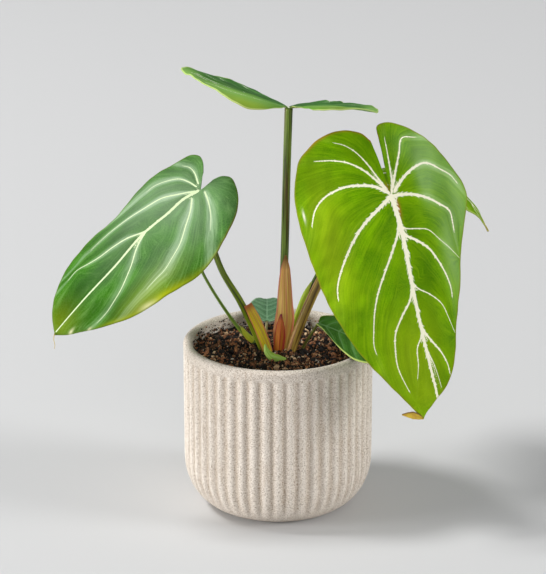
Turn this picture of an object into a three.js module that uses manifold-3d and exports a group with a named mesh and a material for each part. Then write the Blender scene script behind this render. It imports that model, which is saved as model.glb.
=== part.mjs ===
// A young gloriosum philodendron growing in a ribbed stoneware pot, in millimetres.
// X points right, Y away from the viewer and Z up. The origin is the centre of the pot's flat foot.
import * as THREE from 'three';
import { mergeVertices } from 'three/addons/utils/BufferGeometryUtils.js';
import Module from 'manifold-3d';

const wasm = await Module();
wasm.setup();

// Clearance kept between a piece and what it passes through or meets.
const GAP = 0.35;
const CUT_TOLERANCE = 0.02;
const CORNER_GRID = 0.01;

// The pot is a straight cylinder with a deep rounded bottom and 48 upright flutes.
const POT = {
  radius: 75,
  height: 136,
  wall: 7.2,
  floor: 8,
  footRadius: 44,
  bottomCurveHeight: 40,
  lipRound: 3.5,
  flutes: 48,
  fluteDepth: 1.7,
  fluteTop: 129,
  fluteFullTop: 125.5,
  fluteFullBottom: 26,
  fluteBottom: 6.5,
  innerCurveHeight: 34,
  innerFootRadius: 40,
};
const POT_COLUMNS_PER_FLUTE = 4;
const POT_PLAIN_COLUMNS = 48;
// Heights over the cavity's floor at which its rounded side is drawn, and where the flat floor begins.
const CAVITY_STEPS = [34, 20, 8, 1.5];
const CAVITY_FLAT_RADIUS = 37;

// The potting mix fills the pot to a few millimetres under the lip.
const SOIL = { level: 122.4, topRings: 7, columns: 36, climbAtBack: 4.5 };

// Each blade is a heart drawn in its own plane: s runs from the petiole along the midrib, t across it.
// at, heading, dip and roll place that plane. bend curves the midrib and lobeBend the two lobes, in degrees
// per 100 mm. fold tilts each half at the midrib, twist adds to the fold toward the tip and curl rounds each
// half downward. Pairs are [half with t over 0, half with t under 0]. The outlines start at the sinus.
const BLADES = {
  blade_left: {
    at: [-60, -5, 260], heading: -147, dip: 30.5, roll: 26, bend: 14, lobeBend: [14, 14],
    fold: [3, 3], twist: [0, 0], curl: [34, 32], tip: [159, 6], thickness: 0.9,
    waves: { height: 1.6, count: 3.5, phase: 0.6 }, rows: 20, columns: 5, lobeShare: 0.36,
    outlines: [
      [[-12.4, 10.5], [-18.5, 17.5], [-21, 24.5], [-17.5, 31.5], [-8, 35.5], [10, 39], [38, 38], [66, 36],
        [92, 37], [115, 37], [135, 28], [151, 15]],
      [[-13.8, -1.6], [-20, -3.8], [-23.6, -9.5], [-20.5, -19], [-13, -29], [0, -39], [23, -48], [50, -52],
        [78, -47], [107, -37], [133, -22], [152, -4]],
    ],
    petioleReach: 9, color: '#4a7a3a',
  },
  blade_right: {
    at: [86, -30, 264], heading: -63.5, dip: 60, roll: -5, bend: 12, lobeBend: [12, 12],
    fold: [3, 3], twist: [0, 0], curl: [28, 40], tip: [173, 4], thickness: 0.9,
    waves: { height: 1.8, count: 4.5, phase: 1.9 }, rows: 22, columns: 5, lobeShare: 0.38,
    outlines: [
      [[-44, 6], [-53, 14], [-57, 30], [-53, 46], [-46, 57], [-39, 65], [-17, 73], [17, 76], [48, 71],
        [82, 64], [113, 49], [143, 29], [162, 13]],
      [[-46, -2], [-56, -4], [-57, -16], [-46, -34], [-29, -52], [-8, -66], [5, -69], [30, -60], [62, -47],
        [98, -37], [128, -29], [151, -19], [165, -5]],
    ],
    petioleReach: 10, color: '#7fae1c',
  },
  blade_top: {
    at: [8, 8, 322.5], heading: 90, dip: 14.5, roll: 0, bend: 0.5, lobeBend: [13, 50],
    fold: [5, 16.2], twist: [5, 7], curl: [22, -6], tip: [150, 0], thickness: 0.9,
    waves: { height: 0.9, count: 3.5, phase: 2.4 }, rows: 20, columns: 5, lobeShare: 0.38,
    outlines: [
      [[-9, 3], [-22, 12], [-36, 22], [-42, 36], [-28, 52], [-6, 66], [14, 70], [42, 66],
        [76, 53], [110, 33], [136, 12]],
      [[-12, -4], [-26, -12], [-40, -22], [-46, -34], [-41, -47], [-27, -61], [-8, -78], [10, -88], [40, -82],
        [75, -64], [108, -40], [136, -15]],
    ],
    petioleReach: 9, color: '#3f7a35',
  },
  blade_right_back: {
    at: [73.5, 28, 262], heading: 0, dip: -17, roll: 0, bend: 76, lobeBend: [30, 30],
    fold: [-13, -7], twist: [0, 0], curl: [14, 14], tip: [114, 0], thickness: 0.8,
    waves: { height: 0.8, count: 2.5, phase: 0.2 }, rows: 14, columns: 3, lobeShare: 0.34,
    outlines: [
      [[-11, 3], [-14, 11], [-9, 21], [6, 28], [28, 29], [52, 25], [78, 18], [100, 8]],
      [[-11, -3], [-14, -11], [-9, -21], [6, -28], [28, -29], [52, -25], [78, -18], [100, -8]],
    ],
    petioleReach: 6, color: '#8db832',
  },
  blade_left_small: {
    at: [-66, 12, 208], heading: 178, dip: 8, roll: 12, bend: 26, lobeBend: [26, 26],
    fold: [4, 4], twist: [0, 0], curl: [30, 30], tip: [62, 0], thickness: 0.8,
    waves: { height: 0.6, count: 2.5, phase: 1.1 }, rows: 12, columns: 3, lobeShare: 0.34,
    outlines: [
      [[-9, 2], [-12, 8], [-7, 17], [6, 21], [22, 20], [40, 13], [54, 5]],
      [[-9, -2], [-12, -8], [-7, -17], [6, -21], [22, -20], [40, -13], [54, -5]],
    ],
    petioleReach: 5, color: '#4f8144',
  },
  blade_right_small: {
    at: [31.8, -4, 150.3], heading: -46, dip: 0, roll: -22, bend: 22, lobeBend: [22, 22],
    fold: [5, 5], twist: [0, 0], curl: [20, 20], tip: [80, 0], thickness: 0.8,
    waves: { height: 0.5, count: 2.5, phase: 0.9 }, rows: 14, columns: 3, lobeShare: 0.2,
    outlines: [
      [[-1, 2], [8, 4], [21, 9], [38, 16], [54, 18.5], [67, 15], [75, 8]],
      [[-2, -3], [-3, -7], [6, -13], [20, -18], [38, -20], [55, -17], [70, -9]],
    ],
    petioleReach: 5, color: '#3f7058',
  },
  blade_back_small: {
    at: [-8.9, 48, 134.2], heading: 90, dip: -29, roll: 0, bend: 112, lobeBend: [60, 60],
    fold: [8, 8], twist: [0, 0], curl: [60, 60], tip: [44, 0], thickness: 0.8,
    waves: { height: 0.4, count: 2.5, phase: 0.4 }, rows: 12, columns: 3, lobeShare: 0.22,
    outlines: [
      [[-2, 2], [-1, 6], [6, 11], [15, 14.5], [25, 14], [36, 8]],
      [[-2, -2], [-1, -5], [6, -9], [15, -13], [25, -13], [36, -8]],
    ],
    petioleReach: 3.5, color: '#5d8f78',
  },
};

// Leaf stalks rise out of the rhizome, through the soil, to the underside of their blades.
const PETIOLES = {
  petiole_left: {
    blade: 'blade_left', radii: [3.7, 3.1, 2.5, 2.3, 2.1], color: '#5d6f2c', sides: 8, steps: 11,
    points: [[-7, 9, 108], [-11, 7.5, 122], [-19, 8, 141], [-30, 5.5, 165.6], [-44, 2, 192], [-52.5, 0, 219],
      [-60, -5, 260]],
  },
  petiole_right: {
    blade: 'blade_right', radii: [4.2, 3.8, 3.5, 3.3, 2.8], color: '#7a6238', sides: 8, steps: 11,
    points: [[8, 7, 108], [10, 5.5, 122], [19.5, 2.5, 152], [31, 1, 180], [46, -1, 210], [62, -5, 235],
      [77, -16, 254], [86, -30, 264]],
  },
  petiole_top: {
    blade: 'blade_top', radii: [3.3, 3.3, 3.2, 3.1, 3.2], color: '#5a5a2c', sides: 8, steps: 8,
    points: [[2, 12, 108], [2.4, 11.8, 123], [4.2, 10.5, 175], [5.4, 9, 214], [6.6, 8, 270], [8.1, 8, 322.5]],
  },
  petiole_right_back: {
    blade: 'blade_right_back', radii: [2.4, 1.7, 1.6, 1.5, 1.5], color: '#5f7a2c', sides: 6, steps: 9,
    points: [[8, 17.5, 108], [10, 17.5, 123], [20.3, 18.2, 161], [29.6, 18.5, 180.3], [49, 22.5, 221],
      [65, 27, 249], [73.5, 28, 262]],
  },
  petiole_left_small: {
    blade: 'blade_left_small', radii: [1.9, 1.5, 1.3, 1.2, 1.2], color: '#6f8a34', sides: 6, steps: 12,
    points: [[-7, 22, 108], [-12, 22.5, 119], [-21, 22.5, 126], [-27, 22, 131.5], [-37.5, 21, 145.8],
      [-53.4, 17, 173.2], [-61, 14, 190], [-66, 12, 208]],
  },
  petiole_right_small: {
    blade: 'blade_right_small', radii: [1.5, 1.3, 1.2, 1.1, 1.1], color: '#6e7434', sides: 6, steps: 6,
    points: [[13, 12, 109], [17.4, 9.8, 118], [20.5, 7.5, 127], [26, 2, 139], [31.8, -4, 150.3]],
  },
  petiole_back_small: {
    blade: 'blade_back_small', radii: [1.3, 1.2, 1.1, 1.1], color: '#8a8a58', sides: 6, steps: 5,
    points: [[-9, 43, 108], [-10, 44, 119], [-9.6, 45.5, 127], [-8.9, 48, 134.2]],
  },
};

// Papery sheaths clasp the stalks they once wrapped. faces is the compass angle of the rounded side.
// The lists run from the foot to the tip: across and depth are the half width and bulge of the oval that
// a sheath follows, and wrap is how many degrees of it each side covers.
const SHEATHS = {
  sheath_top: {
    faces: -92, thickness: 1.0, color: '#c08a34', rows: 13,
    across: [4.4, 6.1, 7.6, 7.4, 6.2, 5.6, 5.3, 5.0, 4.8],
    depth: [4.6, 5.2, 5.6, 5.6, 5.3, 5.1, 5.0, 5.0, 5.0],
    wrap: [76, 78, 80, 78, 75, 70, 58, 42, 8],
    points: [[2.2, 12.1, 117], [3.4, 11.8, 135], [5.4, 11.3, 150], [5.5, 10.8, 165], [5.6, 10.2, 180],
      [6.2, 9.4, 204]],
  },
  sheath_top_short: {
    faces: -104, thickness: 0.8, color: '#a8502c', rows: 8,
    across: [6.4, 6.6, 6.8, 6.8, 6.8],
    depth: [7.0, 7.3, 7.6, 7.6, 7.4],
    wrap: [26, 38, 40, 28, 5],
    points: [[1.4, 12.2, 117], [2.0, 11.9, 128], [3.2, 11.6, 140], [4.2, 11.4, 155]],
  },
  sheath_left: {
    faces: -75, thickness: 1.0, color: '#b39a2c', rows: 8,
    across: [4.2, 4.4, 4.5, 4.4, 3.6],
    depth: [2.4, 2.4, 2.4, 2.3, 2.0],
    wrap: [60, 60, 60, 60, 55],
    points: [[-7.0, 5.4, 118], [-10.7, 5.5, 131], [-16.6, 5.4, 147], [-24.2, 3.2, 164]],
  },
  sheath_right_back: {
    faces: -128, thickness: 0.8, color: '#93a83a', rows: 9,
    across: [3.4, 3.5, 3.3, 3.0, 2.8],
    depth: [3.4, 3.3, 3.1, 2.9, 2.8],
    wrap: [80, 80, 78, 60, 10],
    points: [[9.5, 17.5, 119], [12.8, 17.8, 134], [17.4, 18.0, 151], [22.2, 18.3, 165], [27.8, 18.4, 177]],
  },
  sheath_left_small: {
    faces: -25, thickness: 0.7, color: '#93a83a', rows: 7,
    across: [2.7, 2.7, 2.5, 2.4],
    depth: [2.8, 2.8, 2.6, 2.4],
    wrap: [75, 78, 60, 12],
    points: [[-20.5, 22.5, 125.6], [-25.5, 22.2, 130.1], [-31.8, 21.6, 138]],
  },
};

// A green bud pushes out of the soil in front of the crown, curved like a little horn.
const BUD = {
  points: [[-10.2, -9.5, 134.8], [-8.8, -11, 129.3], [-4.8, -12.6, 125.4], [0.6, -13.2, 124.2],
    [6.4, -13.2, 124]],
  radii: [0.5, 2.4, 3.5, 2.9, 0.5], color: '#7fae34',
};

// The rhizome creeps along Y under the soil and carries every stalk and a few thick roots.
const RHIZOME = {
  points: [[0, -16, 102], [0, 4, 103], [-1, 26, 102], [-6, 50, 102]],
  radii: [3, 9.5, 10, 8.5, 2.5],
  color: '#6b5a3a',
};
const ROOTS = { count: 4, firstY: -4, spacing: 14, reach: 34, drop: 42, radii: [2.2, 1.8, 0.8] };

const vector = (p) => new THREE.Vector3(...p);
const curveThrough = (points) => new THREE.CatmullRomCurve3(points.map(vector), false, 'centripetal');

// Reads a list of values as a line drawn from one to the next and returns its value at u, from 0 to 1.
function along(values, u) {
  const place = u * (values.length - 1);
  const first = Math.min(Math.floor(place), values.length - 2);
  return THREE.MathUtils.lerp(values[first], values[first + 1], place - first);
}

function geometryFrom(points, triangles) {
  const geometry = new THREE.BufferGeometry();
  geometry.setAttribute('position', new THREE.Float32BufferAttribute(points.flatMap((p) => p.toArray()), 3));
  geometry.setIndex(triangles.flat());
  return geometry;
}

// Drops triangles that have shrunk to a line where a grid's rows run together.
const wholeTriangles = (triangles) => triangles.filter(([a, b, c]) => a !== b && b !== c && c !== a);

// Gives a surface a body that reaches above it and below it, with a rim along its free edges.
function thicken(points, triangles, above, below) {
  const surface = geometryFrom(points, triangles);
  surface.computeVertexNormals();
  const normals = surface.getAttribute('normal');
  const shifted = (distance) => points.map((p, i) => (
    new THREE.Vector3().fromBufferAttribute(normals, i).multiplyScalar(distance).add(p)));
  const under = points.length;
  const faces = triangles.flatMap(([a, b, c]) => [[a, b, c], [under + a, under + c, under + b]]);
  const edges = new Set(triangles.flatMap(([a, b, c]) => [`${a} ${b}`, `${b} ${c}`, `${c} ${a}`]));
  for (const edge of edges) {
    const [a, b] = edge.split(' ').map(Number);
    if (!edges.has(`${b} ${a}`)) faces.push([b, a, under + a], [b, under + a, under + b]);
  }
  return geometryFrom([...shifted(above), ...shifted(-below)], faces);
}

// Closes a stack of horizontal loops into one body. Loops may have different numbers of corners, each
// starts at the same compass angle, and a loop of one corner ends the body.
function stackLoops(loops) {
  const starts = [];
  const points = [];
  for (const loop of loops) {
    starts.push(points.length);
    points.push(...loop);
  }
  const triangles = [];
  for (let level = 0; level + 1 < loops.length; level += 1) {
    const [n, m] = [loops[level].length, loops[level + 1].length];
    const lower = (i) => starts[level] + (i % n);
    const upper = (j) => starts[level + 1] + (j % m);
    let [i, j] = [0, 0];
    while (i < (n > 1 ? n : 0) || j < (m > 1 ? m : 0)) {
      const stepUpper = n === 1 || (m > 1 && (j + 0.5) / m < (i + 0.5) / n && j < m) || (i >= n);
      if (stepUpper) {
        triangles.push([lower(i), upper(j + 1), upper(j)]);
        j += 1;
      } else {
        triangles.push([lower(i), lower(i + 1), upper(j)]);
        i += 1;
      }
    }
  }
  return geometryFrom(points, wholeTriangles(triangles));
}

function loop(columns, radiusAt, heightAt) {
  return Array.from({ length: columns }, (_, i) => {
    const angle = (i / columns) * 2 * Math.PI;
    const radius = radiusAt(angle);
    const [x, y] = [radius * Math.cos(angle), radius * Math.sin(angle)];
    return new THREE.Vector3(x, y, heightAt(x, y));
  });
}

const plainLoop = (radius, height, columns = POT_PLAIN_COLUMNS) => (
  loop(columns, () => radius, () => height));

function toSolid(geometry) {
  const plain = geometry.clone();
  for (const name of Object.keys(plain.attributes)) if (name !== 'position') plain.deleteAttribute(name);
  const merged = mergeVertices(plain, 1e-5);
  const vertProperties = new Float32Array(merged.getAttribute('position').array);
  const triVerts = new Uint32Array(merged.getIndex().array);
  return new wasm.Manifold(new wasm.Mesh({ numProp: 3, vertProperties, triVerts }));
}

// Cuts leave corners a few microns apart where cutters nearly meet, so corners are snapped to a fine grid
// and those that fall together become one.
function toGeometry(solid) {
  const { vertProperties, triVerts } = solid.simplify(CUT_TOLERANCE).getMesh();
  const snapped = vertProperties.map((value) => Math.round(value / CORNER_GRID) * CORNER_GRID);
  const geometry = new THREE.BufferGeometry();
  geometry.setAttribute('position', new THREE.BufferAttribute(snapped, 3));
  geometry.setIndex(new THREE.BufferAttribute(triVerts, 1));
  const merged = mergeVertices(geometry, CORNER_GRID / 10);
  const corners = Array.from(merged.getIndex().array);
  const triangles = [];
  for (let i = 0; i < corners.length; i += 3) triangles.push(corners.slice(i, i + 3));
  merged.setIndex(wholeTriangles(triangles).flat());
  return merged;
}

// The outer wall's radius at a height, before the flutes are cut into it.
function potOuterRadius(height) {
  const rise = Math.min(height / POT.bottomCurveHeight, 1);
  const inset = POT.radius - POT.footRadius;
  return POT.footRadius + inset * Math.sqrt(1 - (1 - rise) ** 2);
}

// The cavity's radius at a height, less a clearance for what stands in it.
function potInnerRadius(height, clearance = 0) {
  const rise = THREE.MathUtils.clamp((height - POT.floor) / POT.innerCurveHeight, 0, 1);
  const inset = POT.radius - POT.wall - POT.innerFootRadius;
  return POT.innerFootRadius + inset * Math.sqrt(1 - (1 - rise) ** 2) - clearance;
}

// How deep the flutes are at a height, from 0 at their ends to 1 along the straight wall.
function fluteStrength(height) {
  const { fluteTop, fluteFullTop, fluteFullBottom, fluteBottom } = POT;
  const fromTop = THREE.MathUtils.smoothstep(fluteTop - height, 0, fluteTop - fluteFullTop);
  const fromBottom = THREE.MathUtils.smoothstep(height, fluteBottom, fluteFullBottom);
  return fromTop * Math.sqrt(fromBottom);
}

function flutedLoop(height) {
  const depth = POT.fluteDepth * fluteStrength(height);
  const radiusAt = (angle) => (
    potOuterRadius(height) - depth * (0.5 - 0.5 * Math.cos(POT.flutes * angle)));
  return loop(POT.flutes * POT_COLUMNS_PER_FLUTE, radiusAt, () => height);
}

function potGeometry() {
  const { radius, height, wall, floor, lipRound, bottomCurveHeight } = POT;
  const { fluteBottom, fluteFullBottom, fluteFullTop, fluteTop } = POT;
  const middle = radius - wall / 2;
  const lip = [80, 40, 0, -40, -80].map((degrees) => {
    const angle = THREE.MathUtils.degToRad(degrees);
    return plainLoop(middle + (wall / 2) * Math.sin(angle), height - lipRound * (1 - Math.cos(angle)));
  });
  const fluteHeights = [fluteBottom, 13, fluteFullBottom, bottomCurveHeight, fluteFullTop, fluteTop];
  const inside = CAVITY_STEPS.map((step) => plainLoop(potInnerRadius(floor + step), floor + step));
  return stackLoops([
    plainLoop(0, 0, 1),
    plainLoop(POT.footRadius, 0),
    plainLoop(potOuterRadius(3), 3),
    ...fluteHeights.map(flutedLoop),
    ...lip,
    plainLoop(potInnerRadius(height), height - lipRound - 1),
    ...inside,
    plainLoop(CAVITY_FLAT_RADIUS, floor),
    plainLoop(0, floor, 1),
  ]);
}

// The soil's surface is slightly uneven and climbs a little against the pot at the back left.
function soilHeight(x, y) {
  const rim = Math.hypot(x, y) / POT.radius;
  const backLeft = Math.max(0, (y - x) / (Math.SQRT2 * POT.radius));
  const bumps = 0.5 * Math.sin(x / 9 + 1) * Math.cos(y / 11) + 0.4 * Math.sin(x / 4.7 - y / 6.1);
  return SOIL.level + bumps + SOIL.climbAtBack * backLeft * rim ** 3 - 1.2 * rim ** 4;
}

function soilGeometry() {
  const { topRings, columns } = SOIL;
  const top = Array.from({ length: topRings }, (_, i) => {
    const radius = (potInnerRadius(POT.height, 1.5 * GAP) * (i + 1)) / topRings;
    return loop(columns, () => radius, soilHeight);
  });
  const side = CAVITY_STEPS.map((step) => (
    plainLoop(potInnerRadius(POT.floor + step, 2 * GAP), POT.floor + step + GAP, columns)));
  const centre = new THREE.Vector3(0, 0, soilHeight(0, 0));
  const bottom = POT.floor + GAP;
  return stackLoops([
    plainLoop(0, bottom, 1),
    plainLoop(CAVITY_FLAT_RADIUS - GAP, bottom, columns),
    ...side.reverse(),
    ...top.reverse(),
    [centre],
  ]);
}

// Turns leaf coordinates into space: the midrib is an arc and each half is an arc across it.
function bladeSurface(blade) {
  const [heading, dip, roll] = [blade.heading, blade.dip, blade.roll].map(THREE.MathUtils.degToRad);
  const forward = new THREE.Vector3(
    Math.cos(heading) * Math.cos(dip), Math.sin(heading) * Math.cos(dip), -Math.sin(dip));
  const level = new THREE.Vector3(Math.sin(heading), -Math.cos(heading), 0);
  const raised = new THREE.Vector3().crossVectors(level, forward);
  const across = level.clone().multiplyScalar(Math.cos(roll)).addScaledVector(raised, Math.sin(roll));
  const up = level.clone().multiplyScalar(-Math.sin(roll)).addScaledVector(raised, Math.cos(roll));
  const perMillimetre = (degreesPer100) => THREE.MathUtils.degToRad(degreesPer100) / 100;
  return (s, t, lift) => {
    const half = t >= 0 ? 0 : 1;
    const bend = perMillimetre(s >= 0 ? blade.bend : blade.lobeBend[half]);
    const turn = bend * s;
    const twist = perMillimetre(blade.twist[half]) * Math.max(s, 0);
    const fold = THREE.MathUtils.degToRad(blade.fold[half]) + twist;
    const curl = perMillimetre(blade.curl[half]);
    const outer = fold - curl * Math.abs(t);
    const out = (Math.sin(fold) - Math.sin(outer)) / curl;
    const rise = (Math.cos(outer) - Math.cos(fold)) / curl;
    const localUp = up.clone().multiplyScalar(Math.cos(turn)).addScaledVector(forward, Math.sin(turn));
    return vector(blade.at)
      .addScaledVector(forward, Math.sin(turn) / bend)
      .addScaledVector(up, (Math.cos(turn) - 1) / bend)
      .addScaledVector(across, Math.sign(t) * out)
      .addScaledVector(localUp, rise + lift);
  };
}

// The rows of a blade's net fan out from the petiole into the lobes, then leave the midrib like its
// side veins, so the net follows the leaf's own growth. Both faces share the same triangles.
function bladeGeometry(blade) {
  const { rows, columns, lobeShare, waves, tip } = blade;
  const surface = bladeSurface(blade);
  const points = [surface(0, 0, 0)];
  const vertex = (s, t, lift) => points.push(surface(s, t, lift)) - 1;
  const tipVertex = vertex(tip[0], tip[1], 0);
  const midrib = Array.from({ length: rows }, (_, row) => {
    const share = Math.max(0, (row / rows - lobeShare) / (1 - lobeShare));
    const place = { s: tip[0] * share, t: tip[1] * share ** 2 };
    return { ...place, index: share > 0 ? vertex(place.s, place.t, 0) : 0 };
  });
  const triangles = [];
  blade.outlines.forEach((outline, half) => {
    const margin = curveThrough([...outline, tip].map(([s, t]) => [s, t, 0])).getSpacedPoints(rows);
    const net = midrib.map((inner, row) => {
      const wave = waves.height * Math.sin(2 * Math.PI * waves.count * (row / rows) + waves.phase + half);
      const outer = Array.from({ length: columns }, (_, i) => {
        const share = (i + 1) / columns;
        const s = THREE.MathUtils.lerp(inner.s, margin[row].x, share);
        const t = THREE.MathUtils.lerp(inner.t, margin[row].y, share);
        return vertex(s, t, wave * share ** 2);
      });
      return [inner.index, ...outer];
    });
    net.push(new Array(columns + 1).fill(tipVertex));
    for (let row = 0; row < rows; row += 1) {
      for (let i = 0; i < columns; i += 1) {
        const [a, b, c, d] = [net[row][i], net[row][i + 1], net[row + 1][i + 1], net[row + 1][i]];
        if (half === 0) triangles.push([a, b, c], [a, c, d]);
        else triangles.push([a, c, b], [a, d, c]);
      }
    }
  });
  return thicken(points, wholeTriangles(triangles), blade.thickness / 2, blade.thickness / 2);
}

// A thick patch round a petiole's joint: it takes away all of the stalk above the blade's underside.
function jointCutter(blade) {
  const surface = bladeSurface(blade);
  const steps = 6;
  const reach = blade.petioleReach;
  const points = [];
  const triangles = [];
  for (let row = 0; row <= steps; row += 1) {
    for (let i = 0; i <= steps; i += 1) {
      points.push(surface(reach * (2 * (row / steps) - 1), reach * (2 * (i / steps) - 1), 0));
      const a = row * (steps + 1) + i;
      if (row < steps && i < steps) {
        triangles.push([a, a + 1, a + steps + 2], [a, a + steps + 2, a + steps + 1]);
      }
    }
  }
  return toSolid(thicken(points, triangles, reach, blade.thickness / 2 + GAP));
}

// A round stalk along a smooth path, thinner or thicker as its radii say.
function stalkGeometry({ points, radii, sides = 8, steps = 10 }, grow = 0) {
  const path = curveThrough(points);
  const frames = path.computeFrenetFrames(steps, false);
  const centres = path.getSpacedPoints(steps);
  centres[0].addScaledVector(frames.tangents[0], -grow);
  centres[steps].addScaledVector(frames.tangents[steps], grow);
  const loops = centres.map((centre, i) => {
    const radius = along(radii, i / steps) + grow;
    return Array.from({ length: sides }, (_unused, j) => {
      const angle = (j / sides) * 2 * Math.PI;
      return centre.clone()
        .addScaledVector(frames.normals[i], radius * Math.cos(angle))
        .addScaledVector(frames.binormals[i], radius * Math.sin(angle));
    });
  });
  return stackLoops([[centres[0]], ...loops, [centres[steps]]]);
}

// A trough of thin tissue that wraps part of the way round its stalk and ends in a tip.
function sheathGeometry(sheath, grow = 0) {
  const { rows, faces, across, depth, wrap, thickness } = sheath;
  const columns = 6;
  const path = curveThrough(sheath.points);
  const facing = new THREE.Vector3(
    Math.cos(THREE.MathUtils.degToRad(faces)), Math.sin(THREE.MathUtils.degToRad(faces)), 0);
  const points = [];
  const triangles = [];
  for (let row = 0; row <= rows; row += 1) {
    const u = row / rows;
    const direction = path.getTangentAt(u);
    const side = new THREE.Vector3().crossVectors(direction, facing).normalize();
    const front = new THREE.Vector3().crossVectors(side, direction);
    const centre = path.getPointAt(u);
    if (row === 0) centre.addScaledVector(direction, -grow);
    for (let i = 0; i <= columns; i += 1) {
      const spread = 2 * (i / columns) - 1;
      const angle = spread * (THREE.MathUtils.degToRad(along(wrap, u)) + grow / along(depth, u));
      points.push(centre.clone()
        .addScaledVector(side, along(across, u) * Math.sin(angle))
        .addScaledVector(front, along(depth, u) * Math.cos(angle)));
      const a = row * (columns + 1) + i;
      if (row < rows && i < columns) {
        triangles.push([a, a + 1, a + columns + 2], [a, a + columns + 2, a + columns + 1]);
      }
    }
  }
  return thicken(points, triangles, thickness / 2 + grow, thickness / 2 + grow);
}

function rhizomeSolid(grow = 0) {
  let body = toSolid(stalkGeometry({ ...RHIZOME, sides: 10, steps: 9 }, grow));
  for (let i = 0; i < ROOTS.count; i += 1) {
    const y = ROOTS.firstY + i * ROOTS.spacing;
    const side = i % 2 === 0 ? 1 : -1;
    const points = [
      [0, y, 101],
      [side * ROOTS.reach * 0.55, y - 3, 101 - ROOTS.drop * 0.4],
      [side * ROOTS.reach, y + 4, 101 - ROOTS.drop],
    ];
    body = body.add(toSolid(stalkGeometry({ points, radii: ROOTS.radii, sides: 5, steps: 4 }, grow)));
  }
  return body;
}

const part = new THREE.Group();

function addPiece(name, geometry, color, roughness) {
  const material = new THREE.MeshStandardMaterial({ color, roughness, metalness: 0 });
  const mesh = new THREE.Mesh(geometry, material);
  mesh.name = name;
  part.add(mesh);
}

const WAXY = 0.55;
const EARTHY = 0.95;

addPiece('pot', potGeometry(), '#d8cfc2', 0.85);

const buriedRhizome = rhizomeSolid(GAP);
let soil = toSolid(soilGeometry()).subtract(buriedRhizome);

for (const [name, petiole] of Object.entries(PETIOLES)) {
  const stalk = toSolid(stalkGeometry(petiole))
    .subtract(buriedRhizome)
    .subtract(jointCutter(BLADES[petiole.blade]));
  soil = soil.subtract(toSolid(stalkGeometry(petiole, GAP)));
  addPiece(name, toGeometry(stalk), petiole.color, WAXY);
}
for (const [name, blade] of Object.entries(BLADES)) addPiece(name, bladeGeometry(blade), blade.color, WAXY);
for (const [name, sheath] of Object.entries(SHEATHS)) {
  soil = soil.subtract(toSolid(sheathGeometry(sheath, GAP)));
  addPiece(name, sheathGeometry(sheath), sheath.color, EARTHY);
}
soil = soil.subtract(toSolid(stalkGeometry(BUD, GAP)));
addPiece('bud', stalkGeometry(BUD), BUD.color, WAXY);
addPiece('rhizome', toGeometry(rhizomeSolid()), RHIZOME.color, EARTHY);
addPiece('soil', toGeometry(soil), '#3a2a1e', EARTHY);

export default part;
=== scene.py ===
import bpy
import math
import numpy as np
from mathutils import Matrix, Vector


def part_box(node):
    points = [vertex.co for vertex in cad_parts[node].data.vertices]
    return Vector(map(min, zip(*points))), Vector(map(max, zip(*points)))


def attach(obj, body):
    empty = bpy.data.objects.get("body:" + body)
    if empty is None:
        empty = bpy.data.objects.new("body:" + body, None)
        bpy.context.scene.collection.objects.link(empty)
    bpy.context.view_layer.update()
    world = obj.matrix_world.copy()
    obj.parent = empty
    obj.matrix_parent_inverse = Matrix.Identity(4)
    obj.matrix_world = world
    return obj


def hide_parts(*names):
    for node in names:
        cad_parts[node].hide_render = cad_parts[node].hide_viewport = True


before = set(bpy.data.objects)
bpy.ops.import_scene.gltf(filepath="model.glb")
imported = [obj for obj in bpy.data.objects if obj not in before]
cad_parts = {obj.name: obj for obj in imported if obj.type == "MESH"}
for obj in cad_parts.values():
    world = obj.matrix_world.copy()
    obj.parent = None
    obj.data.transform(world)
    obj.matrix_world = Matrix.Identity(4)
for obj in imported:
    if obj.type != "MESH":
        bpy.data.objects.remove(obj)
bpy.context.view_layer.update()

# The pot: a round planter of unglazed beige stoneware, jiggered in one piece with 48 upright flutes
# pressed into its wall. The clay keeps a fine grit and small dark iron specks, and the lip is sponged round.
MM = 0.001
POT_COLUMNS = 720
POT_FLUTES = 48
FLUTE_DEPTH = 1.7
# The heights where the flutes begin, are fully deep, start to fade and end.
FLUTE_ENDS = (6.5, 26, 125.5, 129)
# The heights of the rings that round the upper ends of the flutes, and of the plain one above them.
FLUTE_TOP_RINGS = [126.3, 127.2, 128, 128.8, 130.5]
# How many rings each stretch of the profile has, and how far the long walls stay from the curves.
RINGS = {"bottom": 22, "wall": 14, "lip": 15, "cavity": 12, "cavity_floor": 9}
RING_GAP = 6
# A higher number makes a narrower groove or a narrower crest.
GROOVE_SHARPNESS = 1.2
CREST_SHARPNESS = 3
FOOT_RADIUS = 44
BOTTOM_CURVE = 40
WALL = 7.2
LIP_ROUND = 3.5
CAVITY_FLOOR = 8
CAVITY_CURVE = 34
CAVITY_FOOT_RADIUS = 40

pot_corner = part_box("pot")[1]
POT_RADIUS = pot_corner[0] / MM
POT_HEIGHT = pot_corner[2] / MM


def linear(colour):
    """An sRGB hex colour as the linear values that a shader takes."""
    parts = [int(colour[i:i + 2], 16) / 255 for i in (1, 3, 5)]
    return [p / 12.92 if p <= 0.04045 else ((p + 0.055) / 1.055) ** 2.4 for p in parts] + [1.0]


def plug(material, node, inputs):
    """Gives each named input of a node its value, or links it to the output that is given."""
    for name, value in inputs.items():
        if isinstance(value, bpy.types.NodeSocket):
            material.node_tree.links.new(value, node.inputs[name])
        else:
            node.inputs[name].default_value = value


def add(material, kind, inputs=None, output=0, **settings):
    """Adds one shader node with its settings and what its inputs hold, and gives back one of its outputs."""
    node = material.node_tree.nodes.new("ShaderNode" + kind)
    for name, value in settings.items():
        setattr(node, name, value)
    plug(material, node, inputs or {})
    return node.outputs[output]


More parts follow.
